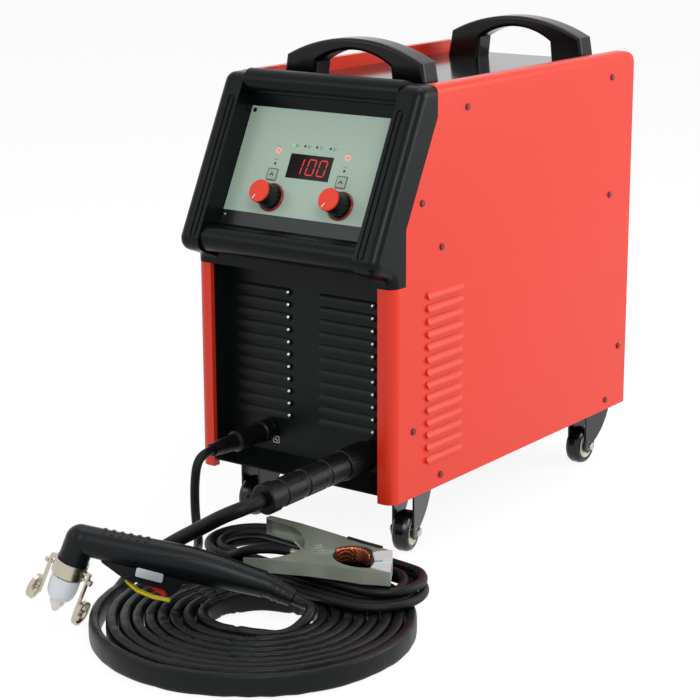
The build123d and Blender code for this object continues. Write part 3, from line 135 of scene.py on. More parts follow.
def fromAxis(tree, origin, direction, low, high):
    # distance from an axis, as 0..1 between low and high (metres)
    where = addNode(tree, "ShaderNodeTexCoord").outputs["Object"]
    offset = vectors(tree, "SUBTRACT", where, tuple(origin)).outputs[0]
    across = vectors(tree, "CROSS_PRODUCT", offset, tuple(direction)).outputs[0]
    length = vectors(tree, "LENGTH", across)
    spread = addNode(tree, "ShaderNodeMapRange", _0=length.outputs["Value"], _1=low, _2=high)
    return spread.outputs["Result"]


def powderCoat(name, colour, roughness, ior=1.5):
    # powder-coated sheet steel: even colour, broad soft gloss and a fine orange peel 1.6 mm across
    material, tree, shader = newMaterial(name, colour, roughness, ior=ior)
    grain(tree, shader, 1.6, 0.2, 0.05, gloss=0.012)
    return material


def mouldedPlastic(name, colour, roughness, grainMm=0.9, depth=0.3, ior=1.27):
    # injection-moulded nylon or ABS, spark-eroded: a weak reflection face on and a crisp one along edges
    material, tree, shader = newMaterial(name, colour, roughness, ior=ior)
    grain(tree, shader, grainMm, depth, 0.05, gloss=0.025)
    return material


def plated(name, colour, roughness, sizeMm=0.7, stretch=(1, 1, 1), metallic=1.0):
    # plated metal: takes its surroundings in its own tint, with a faint lay of rolling under the plate
    material, tree, shader = newMaterial(name, colour, roughness, metallic=metallic)
    grain(tree, shader, sizeMm, 0.12, 0.03, stretch=stretch, gloss=0.07)
    return material


redCoat = powderCoat("red powder coat", "#DC2F14", 0.3, ior=1.42)
blackCoat = powderCoat("black powder coat", "#0E1112", 0.36, ior=1.25)
glossTop = newMaterial("gloss black stove enamel", "#0B0D0E", 0.11, ior=1.34)[0]
bezelPlastic = mouldedPlastic("textured black ABS", "#090D0E", 0.28, ior=1.23)
handlePlastic = mouldedPlastic("polished black handle moulding", "#0C0B0B", 0.17, depth=0.12, ior=1.33)
torchPlastic = mouldedPlastic("torch grip nylon", "#0E1214", 0.33, grainMm=0.6)
rubberBlack = mouldedPlastic("black plug rubber", "#0C0E0F", 0.38)
zincPlate = plated("bright zinc plate", "#C9CDCC", 0.26)
clampZinc = plated("passivated zinc clamp steel", "#9DA397", 0.36, 1.1, stretch=(1, 6, 6), metallic=0.55)
foldedZinc = plated("bright folded zinc", "#CDD6DA", 0.42, sizeMm=1.4, metallic=0.2)
rubberPad = mouldedPlastic("brown-black pad rubber", "#241B18", 0.5)
darkScrew = newMaterial("red-sprayed screw", "#5E1810", 0.45)[0]
brassMetal = plated("turned brass", "#C9A45C", 0.3)
nickelMetal = plated("nickel-plated brass", "#BDB6A6", 0.24)
nozzleSilver = plated("silver-plated nozzle", "#D3D0C9", 0.28, metallic=0.7)
castAluminium = plated("extruded aluminium", "#B8BABB", 0.45)
circuitGreen = powderCoat("solder-masked board", "#1F5B33", 0.35)
windingVarnish = powderCoat("varnished winding", "#8C4A22", 0.4)
displayBlack = newMaterial("smoked display window", "#120405", 0.05, ior=1.2)[0]
ceramicWhite = mouldedPlastic("pressed alumina ceramic", "#DDE4E8", 0.3, grainMm=0.5, ior=1.5)
redPlastic = mouldedPlastic("red rocker moulding", "#D6271A", 0.3, ior=1.45)
buttonGrey = mouldedPlastic("grey key cap", "#9FB3A6", 0.4, ior=1.4)
digitRed = newMaterial("lit red segment", "#C01A26", 0.4, emission=0.75)[0]
whiteInk = newMaterial("white screen print", "#F1F3F2", 0.5)[0]
darkInk = newMaterial("dark screen print", "#26302C", 0.5)[0]
halfInk = newMaterial("grey screen print", "#6F7F77", 0.5)[0]
# painted light: the pale red glow that the lit lamps throw on the film
lampGlowPaint = newMaterial("painted glow round lit lamps", "#EDC0B2", 0.45)[0]
stampedPlate = plated("satin aluminium label", "#C6CBCE", 0.34)
print("materials made")

slopeAngle = math.radians(26.7)
panelOrigin = np.array([0.0, -237.2, 449.3]) * mm
panelNormal = np.array([0, -math.cos(slopeAngle), math.sin(slopeAngle)])
panelUp = np.array([0, math.sin(slopeAngle), math.cos(slopeAngle)])
panel = {"height": 149, "strip": 17, "film": "#A9BFB0", "display": (-3.7, 5.6),
         "digits": (-15.5, 2.4, 18.6), "digitHigh": 18.9,
         "knobs": [(-46.0, -36.0), (55.0, -36.0)], "buttons": [(-54.6, -7.8), (46.7, -7.8)],
         "topRow": [(-35.5, 30.8), (-18.0, 30.8), (-0.6, 30.8), (19.1, 30.8)],
         "sideLamps": [(-54.8, 22.3, True), (-54.8, 6.0, False), (46.6, 22.3, True), (46.6, 6.0, False)],
         "upperScrews": [(-106.5, 69), (106.5, 69)], "lowerScrewGlints": [(-107, -63), (107, -63)]}


def onPanel(points, out):
    # (u, v) in millimetres on the panel's face to metres in the frame, lifted by out millimetres
    points = np.asarray(points, float)
    across = np.array([1.0, 0, 0])
    return panelOrigin + (points[..., :1] * across + points[..., 1:2] * panelUp + out * panelNormal) * mm


def meshFrom(name, points, faces, material, body, slotName, smooth=True):
    mesh = bpy.data.meshes.new(name)
    corners = [tuple(p) for p in np.asarray(points, float)]
    mesh.from_pydata(corners, [], [tuple(int(i) for i in f) for f in faces])
    mesh.validate()
    mesh.polygons.foreach_set("use_smooth", np.full(len(mesh.polygons), smooth))
    mesh.materials.append(material)
    piece = bpy.data.objects.new(name, mesh)
    bpy.context.scene.collection.objects.link(piece)
    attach(piece, body)
    return piece


def joined(shapes):
    # several (points, faces) as one
    points, faces = [], []
    for more, moreFaces in shapes:
        faces += [tuple(i + len(points) for i in face) for face in moreFaces]
        points += [*more]
    return points, faces


def slab(low, high, flip=False):
    # the solid between two like outlines; flip where they run clockwise seen from the high one
    count = len(low)
    faces = [tuple(range(count))[::-1], tuple(range(count, 2 * count))]
    faces += [(i, (i + 1) % count, count + (i + 1) % count, count + i) for i in range(count)]
    return np.vstack([low, high]), [face[::-1] for face in faces] if flip else faces


def gridFaces(rows, columns, closedRows=False, closedColumns=False):
    # quads of a rows x columns grid, wrapped round where it closes
    r = np.arange(rows if closedRows else rows - 1)
    c = np.arange(columns if closedColumns else columns - 1)
    a, b = np.meshgrid(r, c, indexing="ij")
    a, b = a.ravel(), b.ravel()
    an, bn = (a + 1) % rows, (b + 1) % columns
    return np.stack([a * columns + b, a * columns + bn, an * columns + bn, an * columns + b], 1)


def tubeAlong(path, section, up=None):
    # a section (around, 2) or (steps, around, 2) carried square to a path; closed by a fan at each end
    steps = len(path)
    tangent = np.gradient(path, axis=0)
    tangent /= np.linalg.norm(tangent, axis=1, keepdims=True)
    if up is None:
        side = np.empty_like(path)
        guide = np.cross(tangent[0], [0.0, 0, 1])
        guide = guide if np.linalg.norm(guide) > 0.1 else np.cross(tangent[0], [1.0, 0, 0])
        for i in range(steps):
            guide = guide - tangent[i] * (guide @ tangent[i])
            guide /= np.linalg.norm(guide)
            side[i] = guide
    else:
        side = np.cross(tangent, np.broadcast_to(up, path.shape))
        side /= np.linalg.norm(side, axis=1, keepdims=True)
    lift = np.cross(side, tangent)
    section = np.broadcast_to(section, (steps, *section.shape[-2:]))
    around = section.shape[1]
    points = path[:, None] + section[..., :1] * side[:, None] + section[..., 1:] * lift[:, None]
    points = points.reshape(-1, 3)
    faces = [tuple(f) for f in gridFaces(steps, around, closedColumns=True)]
    points = np.vstack([points, path[0], path[-1]])
    first, last = steps * around, steps * around + 1
    ring = np.arange(around)
    faces += [(first, (i + 1) % around, i) for i in ring]
    faces += [(last, (steps - 1) * around + i, (steps - 1) * around + (i + 1) % around) for i in ring]
    return points, faces


def flatShape(name, outlines, out, height, material, body="machine", slotName="label"):
    # thin raised shapes on the panel: closed outlines of (u, v), each extruded by height millimetres
    shapes = [slab(onPanel(outline, out), onPanel(outline, out + height)) for outline in outlines]
    return meshFrom(name, *joined(shapes), material, body, slotName, smooth=False)


def segmentDigit(u, v, high, lit):
    # seven-segment digit leaning a little: lit holds the letters of its lit bars, a to g
    wide, tip, gap, lean = high * 0.54, high * 0.075 / 2, high * 0.02, 0.1
    x, y = wide / 2, high / 2
    flat = {"a": (0, y), "g": (0, 0), "d": (0, -y)}
    tall = {"f": (-x, y / 2), "b": (x, y / 2), "e": (-x, -y / 2), "c": (x, -y / 2)}
    shapes = []
    for key, (cx, cy) in {**flat, **tall}.items():
        if key not in lit:
            continue
        long = (wide if key in flat else high / 2) / 2 - gap
        line = [(-long, 0), (-long + tip, -tip), (long - tip, -tip),
                (long, 0), (long - tip, tip), (-long + tip, tip)]
        if key in tall:
            line = [(-b, a) for a, b in line]
        shapes.append([(u + cx + a + lean * (cy + b), v + cy + b) for a, b in line])
    return shapes


def ringShape(u, v, radius, count=20):
    angle = np.linspace(0, 2 * np.pi, count, endpoint=False)
    return [(u + radius * math.cos(a), v + radius * math.sin(a)) for a in angle]


def bar(u0, v0, u1, v1, width):
    # a straight stroke between two points
    run = math.hypot(u1 - u0, v1 - v0)
    a, b = (u1 - u0) / run * width / 2, (v1 - v0) / run * width / 2
    return [(u0 - b, v0 + a), (u0 + b, v0 - a), (u1 + b, v1 - a), (u1 - b, v1 + a)]


def roundedBox(u, v, halfWide, halfHigh, corner, count=5):
    # rectangle with rounded corners, as one closed outline
    points = []
    for i, (cx, cy) in enumerate(((1, 1), (-1, 1), (-1, -1), (1, -1))):
        angle = np.radians(90 * i) + np.linspace(0, np.pi / 2, count)
        points += [(u + cx * (halfWide - corner) + corner * math.cos(a),
                    v + cy * (halfHigh - corner) + corner * math.sin(a)) for a in angle]
    return points


def hollow(outer, inner):
    # the band between two like outlines, as quads
    following = [*range(1, len(outer)), 0]
    return [[outer[i], outer[j], inner[j], inner[i]] for i, j in enumerate(following)]


def buildPanelGraphics():
    du, dv = panel["display"]
    digits = []
    for place, lit in zip(panel["digits"], ("bc", "abcdef", "abcdef")):
        digits += segmentDigit(du + place, dv, panel["digitHigh"], lit)
    flatShape("displayDigits", digits, 0.42, 0.12, digitRed, slotName="lens")
    marks, faint, glowDiscs = [], [], []
    for u, v in panel["topRow"]:
        marks += [bar(u + 4.2, v - 1.5, u + 7.0, v - 1.5, 0.8), bar(u + 4.4, v + 1.6, u + 6.4, v + 0.2, 0.9)]
        faint += [bar(u + 7.6, v + 1.1, u + 9.8, v + 1.1, 0.5), bar(u + 7.6, v - 0.6, u + 9.4, v - 0.6, 0.5)]
    for u, v, lit in panel["sideLamps"]:
        faint += [bar(u - 3.0, v + 5.0, u + 3.0, v + 5.0, 0.7)]
        # the pale red disc round each lit lamp is painted light, the lamp's glow on the film
        if lit:
            glowDiscs.append(ringShape(u, v, 4.6, 24))
    flatShape("panelMarks", marks, 0.02, 0.1, darkInk)
    flatShape("panelNotes", faint, 0.02, 0.1, halfInk)
    flatShape("paintedLampGlow", glowDiscs, 0.01, 0.06, lampGlowPaint)
    # the lower heads are small bright zinc domes, a painted glint on the lower screws; the upper heads are
    # black moulding
    for name, places, radius, material in (("upperPanelScrews", panel["upperScrews"], 2.7, bezelPlastic),
                                           ("lowerPanelScrewGlints", panel["lowerScrewGlints"], 1.2, foldedZinc)):
        heads = joined([disc(onPanel(place, 0), panelNormal, radius * mm, 1.1 * mm) for place in places])
        meshFrom(name, *heads, material, "machine", "dark_steel")
    for side, (u, v) in zip(("left", "right"), panel["buttons"]):
        arrow = [bar(u - 2.7, v - 1.7, u + 0.3, v + 1.7, 1.5), bar(u - 0.3, v + 1.7, u + 2.7, v - 1.7, 1.5)]
        flatShape(f"{side}ButtonArrow", arrow, 1.22, 0.1, darkInk, f"{side}_button", "grey_plastic")
        frameLine = hollow(roundedBox(u, v, 7.7, 7.7, 1.7), roundedBox(u, v, 7.0, 7.0, 1.0))
        flatShape(f"{side}ButtonFrame", frameLine, 0.02, 0.1, darkInk)


torchLead = {
    "route": [(75.19, -428.5, 113.75), (72.48, -454.29, 111.93), (48, -466, 100), (20, -470, 82),
              (-8, -473, 65), (-32, -484, 48), (-44, -505, 33), (-45, -528, 19)],
    "tail": [(191, -527, 17), (195, -512, 24), (195, -500, 30), (188, -489, 33)],
    "centre": (135.3, -517.6), "radius": 168.0, "pitch": 13.5, "halfTurns": 15, "inner": 53.0, "flare": 3.0,
    "startDegrees": 200, "thick": 12.5, "high": 26.0, "halfHigh": 12.4, "leadDiameter": 17.0,
    "tailDiameter": 12.0, "tailLength": 95.0, "blend": 60.0, "step": 3.0,
    "folds": 150, "foldWide": 2.6, "sway": 0.7, "rise": 1.6,
}
torchFrame = {"origin": (137.4, -506.5, 49.3), "heading": 29.3, "tilt": 13.0,
              "bootRun": 33.0, "bootDrop": 13.0, "tailRise": 3.2}


def torchAxes():
    h, t = math.radians(torchFrame["heading"]), math.radians(torchFrame["tilt"])
    forward = np.array([-math.cos(h) * math.cos(t), -math.sin(h) * math.cos(t), math.sin(t)])
    up = np.array([math.cos(h) * math.sin(t), math.sin(h) * math.sin(t), math.cos(t)])
    return forward, np.cross(up, forward), up


def inTorch(points):
    # torch coordinates in millimetres (x to the head, y sideways, z up from the trigger) to metres
    forward, sideways, up = torchAxes()
    points = np.asarray(points, float)
    place = np.array(torchFrame["origin"])
    return (place + points[..., :1] * forward + points[..., 1:2] * sideways + points[..., 2:3] * up) * mm


def arcPoints(cx, cy, z, radius, begin, sweep, count):
    # control points round an arc, set out far enough that a quadratic curve through them keeps the radius
    step = math.radians(sweep / count)
    wide = radius / (0.75 + 0.25 * math.cos(step))
    angle = np.radians(begin) + step * (np.arange(count) + 0.5)
    return [(cx + wide * math.cos(a), cy + wide * math.sin(a), z) for a in angle]


def torchCoilPoints():
    # half turns about two alternating centres, so that the lead winds inwards by a pitch each turn
    c = torchLead
    (cx, cy), z = c["centre"], c["high"] / 2
    start = math.radians(c["startDegrees"])
    first = c["radius"] + c["flare"]
    begin = (cx - c["flare"] + first * math.cos(start), cy + first * math.sin(start))
    tangent = (-math.sin(start), math.cos(start))
    points = [(begin[0] - tangent[0] * d, begin[1] - tangent[1] * d, z)
              for d in (c["thick"] + 20, c["thick"])]
    points += arcPoints(cx - c["flare"], cy, z, first, c["startDegrees"], 360 - c["startDegrees"], 11)
    reach = cx + c["radius"]
    for k in range(1, c["halfTurns"] + 1):
        radius = c["radius"] - c["pitch"] / 2 * k
        centre = reach - radius if k % 2 else reach + radius
        points += arcPoints(centre, cy, z, radius, 0 if k % 2 else 180, 180, 12)
        reach = centre - radius if k % 2 else centre + radius
    points += arcPoints(reach + c["inner"], cy, z, c["inner"], 180, 135, 9)
    eighth, diagonal = math.radians(45), 0.7071
    corner = (reach + c["inner"] * (1 + math.cos(eighth)), cy - c["inner"] * math.sin(eighth))
    points += [(corner[0] + d * diagonal, corner[1] + d * diagonal, z) for d in (c["thick"], c["thick"] + 9)]
    return points


def splinePoints(name, controls, resolution):
    # points read from a NURBS line through the route
    curve = bpy.data.curves.new(name, "CURVE")
    curve.dimensions = "3D"
    curve.resolution_u = resolution
    spline = curve.splines.new("NURBS")
    spline.points.add(len(controls) - 1)
    weighted = np.column_stack([np.array(controls) * mm, np.ones(len(controls))])
    spline.points.foreach_set("co", weighted.ravel())
    spline.order_u = 3
    spline.use_endpoint_u = True
    holder = bpy.data.objects.new(name, curve)
    bpy.context.scene.collection.objects.link(holder)
    mesh = bpy.data.meshes.new_from_object(holder)
    points = np.empty(len(mesh.vertices) * 3)
    mesh.vertices.foreach_get("co", points)
    bpy.data.objects.remove(holder)
    return points.reshape(-1, 3)


def evenly(path, spacing):
    # the same line with points a fixed spacing apart
    run = np.concatenate([[0], np.cumsum(np.linalg.norm(np.diff(path, axis=0), axis=1))])
    at = np.linspace(0, run[-1], max(2, int(run[-1] / spacing) + 1))
    return np.column_stack([np.interp(at, run, path[:, i]) for i in range(3)]), at


def sheathMaterial(name, colour, roughness, wrinkleMm):
    # black rubber or leather-grained cover: weak broad sheen, with soft creases wrinkleMm across
    material, tree, shader = newMaterial(name, colour, roughness, ior=1.28)
    grain(tree, shader, wrinkleMm, 0.55, 0.6, detail=4.0)
    return material


def buildTorchLead():
    c = torchLead
    controls = c["route"] + torchCoilPoints() + c["tail"]
    boot, drop = torchFrame["bootRun"], math.radians(torchFrame["bootDrop"])
    ends = [(-d * math.cos(drop), 0, torchFrame["tailRise"] - d * math.sin(drop)) for d in (boot + 8, boot)]
    controls += [tuple(p) for p in inTorch(ends) / mm]
    path, run = evenly(splinePoints("torchLine", controls, 10), c["step"] * mm)
    total = run[-1]
    lead = sum(math.dist(a, b) for a, b in zip(c["route"], c["route"][1:])) * mm
    tail, blend = c["tailLength"] * mm, c["blend"] * mm
    # the share of flat sleeve at each step: 0 where the lead is round, 1 in the coil
    flat = np.clip((run - lead + 20 * mm) / blend, 0, 1)
    flat = flat * np.clip((total - tail - run + 30 * mm) / blend, 0, 1)
    flat = flat * flat * (3 - 2 * flat)
    roundRadius = np.where(run < total / 2, c["leadDiameter"] / 2, c["tailDiameter"] / 2)
    rng = np.random.default_rng(4)
    wave = np.interp(run, np.linspace(0, total, 90), rng.uniform(-1, 1, 90))
    ripple = np.interp(run, np.linspace(0, total, 520), rng.uniform(-1, 1, 520))
    inner = np.clip((run / total - 0.45) * 2.5, 0, 1)     # the tighter turns crease most
    at = np.sort(rng.uniform(total * 0.35, total - tail, c["folds"]))[:, None]
    fold = np.exp(-((run[None] - at) / (c["foldWide"] * mm)) ** 2).max(0) * inner     # pinches across it
    halfWide = (1 - flat) * roundRadius + flat * (c["thick"] / 2 + 0.3 * wave + 0.2 * ripple - 0.8 * fold)
    halfHigh = (1 - flat) * roundRadius + flat * (c["halfHigh"] + 0.5 * ripple - 1.5 * fold)
    sway = np.interp(run, np.linspace(0, total, 70), rng.uniform(-1, 1, 70)) * c["sway"] * flat * mm
    rise = np.interp(run, np.linspace(0, total, 80), rng.uniform(0, 1, 80)) * c["rise"] * flat * mm
    heading = np.gradient(path, axis=0)
    heading /= np.linalg.norm(heading, axis=1, keepdims=True)
    path = path + np.column_stack([-heading[:, 1] * sway, heading[:, 0] * sway, rise])
    angle = np.linspace(0, 2 * np.pi, 24, endpoint=False)
    power = 1 - 0.45 * flat[:, None]            # superellipse exponent: round lead to a padded rectangle
    cosine, sine = np.cos(angle)[None], np.sin(angle)[None]
    across = np.sign(cosine) * np.abs(cosine) ** power * halfWide[:, None]
    upward = np.sign(sine) * np.abs(sine) ** power * halfHigh[:, None]
    section = np.stack([across, upward], -1) * mm
    points, faces = tubeAlong(path, section, up=(0.0, 0, 1))
    material = sheathMaterial("leather-grained lead cover", "#0A0D0E", 0.4, 5.0)
    piece = meshFrom("torchLeadCover", points, faces, material, "machine", "cord_sheath")
    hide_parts("torch_lead", "torch_lead_coil", "torch_tail")
    print("torch lead", round(float(total), 3), "m")


earthLead = {
    "diameter": 11.0, "centre": (120.0, -396.0), "angle": -4.0, "run": 180.0, "reach": 60.0, "strand": 12.0,
    "layer": 11.7, "inward": 4, "low": 31.8, "step": 3.0, "drift": (0.0, 1.6, -1.2, 1.9, 0.4, -1.0),
    "route": [(-64, -349.3, 127), (-64, -363.3, 127), (-65, -376, 119), (-66, -380, 97), (-66, -381, 71),
              (-62, -384, 47), (-52, -392, 32), (-39, -408, 27), (-27, -427, 31)],
    "end": [(93, -426, 60), (113, -426, 60)],
}


def earthPlace(points):
    # the loops' own plane coordinates to the frame's, in millimetres
    turn = math.radians(earthLead["angle"])
    points = np.asarray(points, float)
    x = points[:, 0] * math.cos(turn) - points[:, 1] * math.sin(turn) + earthLead["centre"][0]
    y = points[:, 0] * math.sin(turn) + points[:, 1] * math.cos(turn) + earthLead["centre"][1]
    return [tuple(p) for p in np.column_stack([x, y, points[:, 2]])]


def earthCoilPoints():
    # long loops: spiral in below, climb one layer, spiral back out on top
    c = earthLead
    half, step = c["run"] / 2, c["strand"] / 2
    levels = [c["reach"] - step * i - shift for i, shift in enumerate(c["drift"])]
    levels += levels[-3:0:-1]
    z, y, points = c["low"], -levels[0], []
    points.append((-half - 24, y, z))
    points.append((-half, y, z))
    for i, (level, following) in enumerate(zip(levels, levels[1:])):
        side = 1 if i % 2 == 0 else -1
        outward = step if i > c["inward"] and side > 0 else 0.0
        radius, middle = (level + following) / 2, side * (following - level) / 2
        climb = c["layer"] if i == c["inward"] else 0.0
        begin = -90 if side > 0 else 90
        for j, p in enumerate(arcPoints(side * (half + outward), middle, z, radius, begin, 180, 7)):
            points.append((p[0], p[1], z + climb * (j + 0.5) / 7))
        z += climb
        y = side * following
    points += [(-half, y, z), (-half + 13, y, z), (-half + 36, y + 1, z + 14)]
    return earthPlace(points)


def buildEarthLead():
    c = earthLead
    controls = c["route"] + earthCoilPoints() + c["end"]
    path, run = evenly(splinePoints("earthLine", controls, 10), c["step"] * mm)
    angle = np.linspace(0, 2 * np.pi, 20, endpoint=False)
    circle = np.column_stack([np.cos(angle), np.sin(angle)]) * c["diameter"] / 2 * mm
    points, faces = tubeAlong(path, circle)
    material = sheathMaterial("rubber welding cable", "#0A0B0C", 0.44, 3.0)
    piece = meshFrom("earthCable", points, faces, material, "machine", "cord_sheath")
    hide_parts("earth_lead", "earth_lead_coil", "earth_tail")
    print("earth lead", round(float(run[-1]), 3), "m")


torchTrim = {"plate": (121.8, -13.9, 30.0, 10.6), "look": (-0.12, 0.91, 0.39),
             "screws": [(144.1, -10.7, 1.7), (25.9, 24.0, 1.1), (79.8, 19.4, 0.9)],
             "seam": [(158.9, -10.6), (149, -5), (140, -1), (116, 5), (91, 9), (57, 12), (28, 11), (5, 8)]}


def onTorch(points):
    # (x, z) in the torch's own plane to where a look from its near side meets the grip, in metres
    handle = frame["nodes"]["torch_handle"]
    forward, sideways, up = torchAxes()
    look = np.array([forward, sideways, up]).T @ np.array(torchTrim["look"])
    found = []
    for x, z in points:
        start = inTorch([x, 0, z]) + look * 0.08
        hit, place, normal, face = handle.ray_cast(Vector(start), Vector(-look))
        if hit:
            found.append((np.array(place), np.array(normal)))
    return found


def disc(centre, normal, radius, height, count=18):
    # a low round head: two rings and a crown, closed underneath
    normal = normal / np.linalg.norm(normal)
    side = np.cross(normal, [0.0, 0, 1])
    side /= np.linalg.norm(side)
    other = np.cross(normal, side)
    angle = np.linspace(0, 2 * np.pi, count, endpoint=False)
    circle = np.cos(angle)[:, None] * side + np.sin(angle)[:, None] * other
    rings = [centre - normal * 0.3 * mm + circle * radius, centre + normal * height * 0.6 + circle * radius,
             centre + normal * height + circle * radius * 0.7]
    points = np.vstack([*rings, centre - normal * 0.3 * mm, centre + normal * height])
    faces = [tuple(f) for f in gridFaces(3, count, closedColumns=True)]
    ring = np.arange(count)
    faces += [(3 * count, (i + 1) % count, i) for i in ring]
    faces += [(3 * count + 1, 2 * count + i, 2 * count + (i + 1) % count) for i in ring]
    return points, faces


def prism(outline, low, high):
    # a flat outline (x, y) stood up between two heights
    outline = np.asarray(outline, float)
    return slab(*[np.column_stack([outline, np.full(len(outline), z)]) for z in (low, high)])


def buildTorchTrim():
    t = torchTrim
    screwBlack = newMaterial("blackened steel screw", "#050505", 0.25, metallic=0.6)[0]
    for i, (x, z, radius) in enumerate(t["screws"]):
        for centre, normal in onTorch([(x, z)]):
            points, faces = disc(centre, normal, radius * mm, 0.25 * mm)
            meshFrom(f"gripScrew{i + 1}", points, faces, screwBlack, "machine", "dark_steel")
    seam = np.array([place + normal * 0.05 * mm for place, normal in onTorch(t["seam"])])
    line = splinePoints("seamLine", [tuple(p / mm) for p in seam], 8)
    angle = np.linspace(0, 2 * np.pi, 8, endpoint=False)
    points, faces = tubeAlong(line, np.column_stack([np.cos(angle), np.sin(angle)]) * 0.45 * mm)
    meshFrom("gripSeam", points, faces, torchPlastic, "machine", "black_plastic")
    x, z, wide, high = t["plate"]
    forward, sideways, up = torchAxes()
    probes = [(x + a * wide / 2, z - 3.6 + b * high / 2) for a in (-1, 0, 1) for b in (-1, 0, 1)]
    centre = np.array(torchFrame["origin"]) * mm
    face = max(float((place - centre) @ sideways) for place, normal in onTorch(probes))
    corners = roundedBox(x, z, wide / 2, high / 2, 2.0)
    under, outer = [inTorch([(a, face / mm + h, b) for a, b in corners]) for h in (-0.2, 0.45)]
    plate = slab(under, outer, flip=True)
    meshFrom("torchLabelPlate", *plate, stampedPlate, "machine", "label", smooth=False)


cup = {"headX": 204.7, "lean": 8.8,
       "profile": [(12.1, -44.6), (15.9, -44.6), (16.3, -46), (16.5, -50), (16.5, -58), (16.0, -64),
                   (14.6, -69), (12.2, -72.4), (10.2, -73.4), (9.3, -73.0), (9.2, -70), (9.2, -50),
                   (12.1, -49.3)]}


def buildCup():
    # the cup's profile (radius, height) turned about the head's leaning axis
    lean = math.radians(cup["lean"])
    profile = np.array(cup["profile"])
    angle = np.linspace(0, 2 * np.pi, 48, endpoint=False)
    radius, height = profile[:, :1], np.broadcast_to(profile[:, 1:], (len(profile), len(angle)))
    x, y = radius * np.cos(angle), radius * np.sin(angle)
    turned = np.stack([cup["headX"] + x * math.cos(lean) - height * math.sin(lean), y,
                       x * math.sin(lean) + height * math.cos(lean)], -1)
    faces = gridFaces(len(profile), len(angle), closedRows=True, closedColumns=True)
    piece = meshFrom("ceramicCup", inTorch(turned.reshape(-1, 3)), faces, ceramicWhite, "machine", "ceramic")
    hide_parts("shield_cup")
    bevel = piece.modifiers.new("roundedLip", "SUBSURF")
    bevel.levels = bevel.render_levels = 1


louvres = {"columns": (-69.5, 54.5), "length": 82.0, "rows": 11, "top": 302.5, "pitch": 15.3,
           "face": -240.0, "rise": 3.4, "icon": (-54.0, 115.0)}


def buildLouvreGlints():
    # painted highlights: a bright disc at the right end of every front louvre stands for the lamp's
    # reflection on its rounded end; and a plain symbol
    glintPaint = plated("painted louvre highlight", "#E4E8EA", 0.25, metallic=0.4)
    # each disc is a painted highlight, not a feature of the sheet
    outwards = np.array([0.55, -0.8, 0.2])
    corners = []
    for column in louvres["columns"]:
        for row in range(louvres["rows"]):
            x, z = column + louvres["length"] / 2 - 2.6, louvres["top"] - louvres["pitch"] * row + 0.6
            centre = np.array([x, louvres["face"] - louvres["rise"], z]) * mm
            corners.append(disc(centre, outwards, 1.7 * mm, 0.4 * mm, count=8))
    meshFrom("paintedLouvreGlints", *joined(corners), glintPaint, "machine", "zinc")
    u, v = louvres["icon"]
    strokes = hollow(roundedBox(u, v, 4.6, 4.2, 0.8, 3), roundedBox(u, v, 3.9, 3.5, 0.4, 3))
    strokes += [bar(u - 2.6, v + 2.2, u + 2.6, v - 2.2, 0.8), bar(u - 2.4, v - 1.2, u + 0.4, v + 1.2, 0.7)]
    printed = [[np.array([(a, louvres["face"] - out, b) for a, b in stroke]) * mm for out in (0.0, 0.12)]
               for stroke in strokes]
    symbol = joined([slab(low, high, flip=True) for low, high in printed])
    meshFrom("panelSymbol", *symbol, whiteInk, "machine", "label", smooth=False)


clampTrim = {"origin": (139.0, -414.0, 60.0), "top": 10.0,
             "braid": [(62, 13.5), (55, 20), (44, 24.5), (34, 22), (26, 14), (23, 5)],
             "farPad": [(66.5, 22), (78, 34.6), (93.5, 12.2), (80, -2.2), (65.4, 14.8)],
             "nearPad": [(86, -18.2), (111.6, -17.8), (93.4, 11.3), (80.6, -3.0)],
             "rubber": [(14, 40), (40, 37.4), (64, 36.2), (63, 32), (40, 33.4), (15, 36)]}


def inClamp(points):
    return np.asarray(points, float) + np.array(clampTrim["origin"][:2])


def buildClampTrim():
    t = clampTrim
    z, top = t["origin"][2], t["top"]
    controls = [(*inClamp(p), z) for p in t["braid"]]
    line = splinePoints("braidLine", controls, 10)
    run = np.linspace(0, 1, len(line))
    angle = np.linspace(0, 2 * np.pi, 16, endpoint=False)
    squared = np.sign(np.sin(angle)) * np.abs(np.sin(angle)) ** 0.4
    flat = np.column_stack([np.cos(angle) * 1.1, squared * 8.4]) * mm
    section = np.broadcast_to(flat, (len(line), *flat.shape)) * (1 + 0.04 * np.sin(run * 60))[:, None, None]
    points, faces = tubeAlong(line, section, up=(0.0, 0, 1))
    meshFrom("copperBraid", points, faces, braidMaterial(), "far_jaw", "copper_winding")
    for name, body, key, low, high in (("farContactPlate", "far_jaw", "farPad", -top + 1.5, top + 0.7),
                                       ("nearContactPlate", "machine", "nearPad", -6.0, top - 1.6)):
        points, faces = prism(inClamp(t[key]), z + low, z + high)
        meshFrom(name, points * mm, faces, foldedZinc, body, "zinc", smooth=False)
    points, faces = prism(inClamp(t["rubber"]), z + top - 0.3, z + top + 1.8)
    meshFrom("jawPad", points * mm, faces, rubberPad, "far_jaw", "black_plastic", smooth=False)


def braidMaterial():
    # tinned copper braid: warm metal in two crossing lays of strands 2 mm apart
    material, tree, shader = newMaterial("copper braid", "#B9694A", 0.34, metallic=1.0)
    where = addNode(tree, "ShaderNodeTexCoord").outputs["Object"]
    lays = []
    for lean in (0.7, -0.7):
        turned = addNode(tree, "ShaderNodeMapping", Vector=where, Rotation=(lean, 0, lean))
        strands = addNode(tree, "ShaderNodeTexWave", Vector=turned.outputs[0], Scale=1 / (6.3 * mm),
                          Distortion=0.6)
        lays.append(strands.outputs["Fac"])
    crossed = maths(tree, "MULTIPLY", *lays)
    bump = addNode(tree, "ShaderNodeBump", Height=crossed, Strength=0.7, Distance=0.6 * mm)
    tree.links.new(bump.outputs["Normal"], shader.inputs["Normal"])
    ramp = addNode(tree, "ShaderNodeMapRange", _0=crossed, _3=0.22, _4=0.5)
    tree.links.new(ramp.outputs["Result"], shader.inputs["Roughness"])
    return material


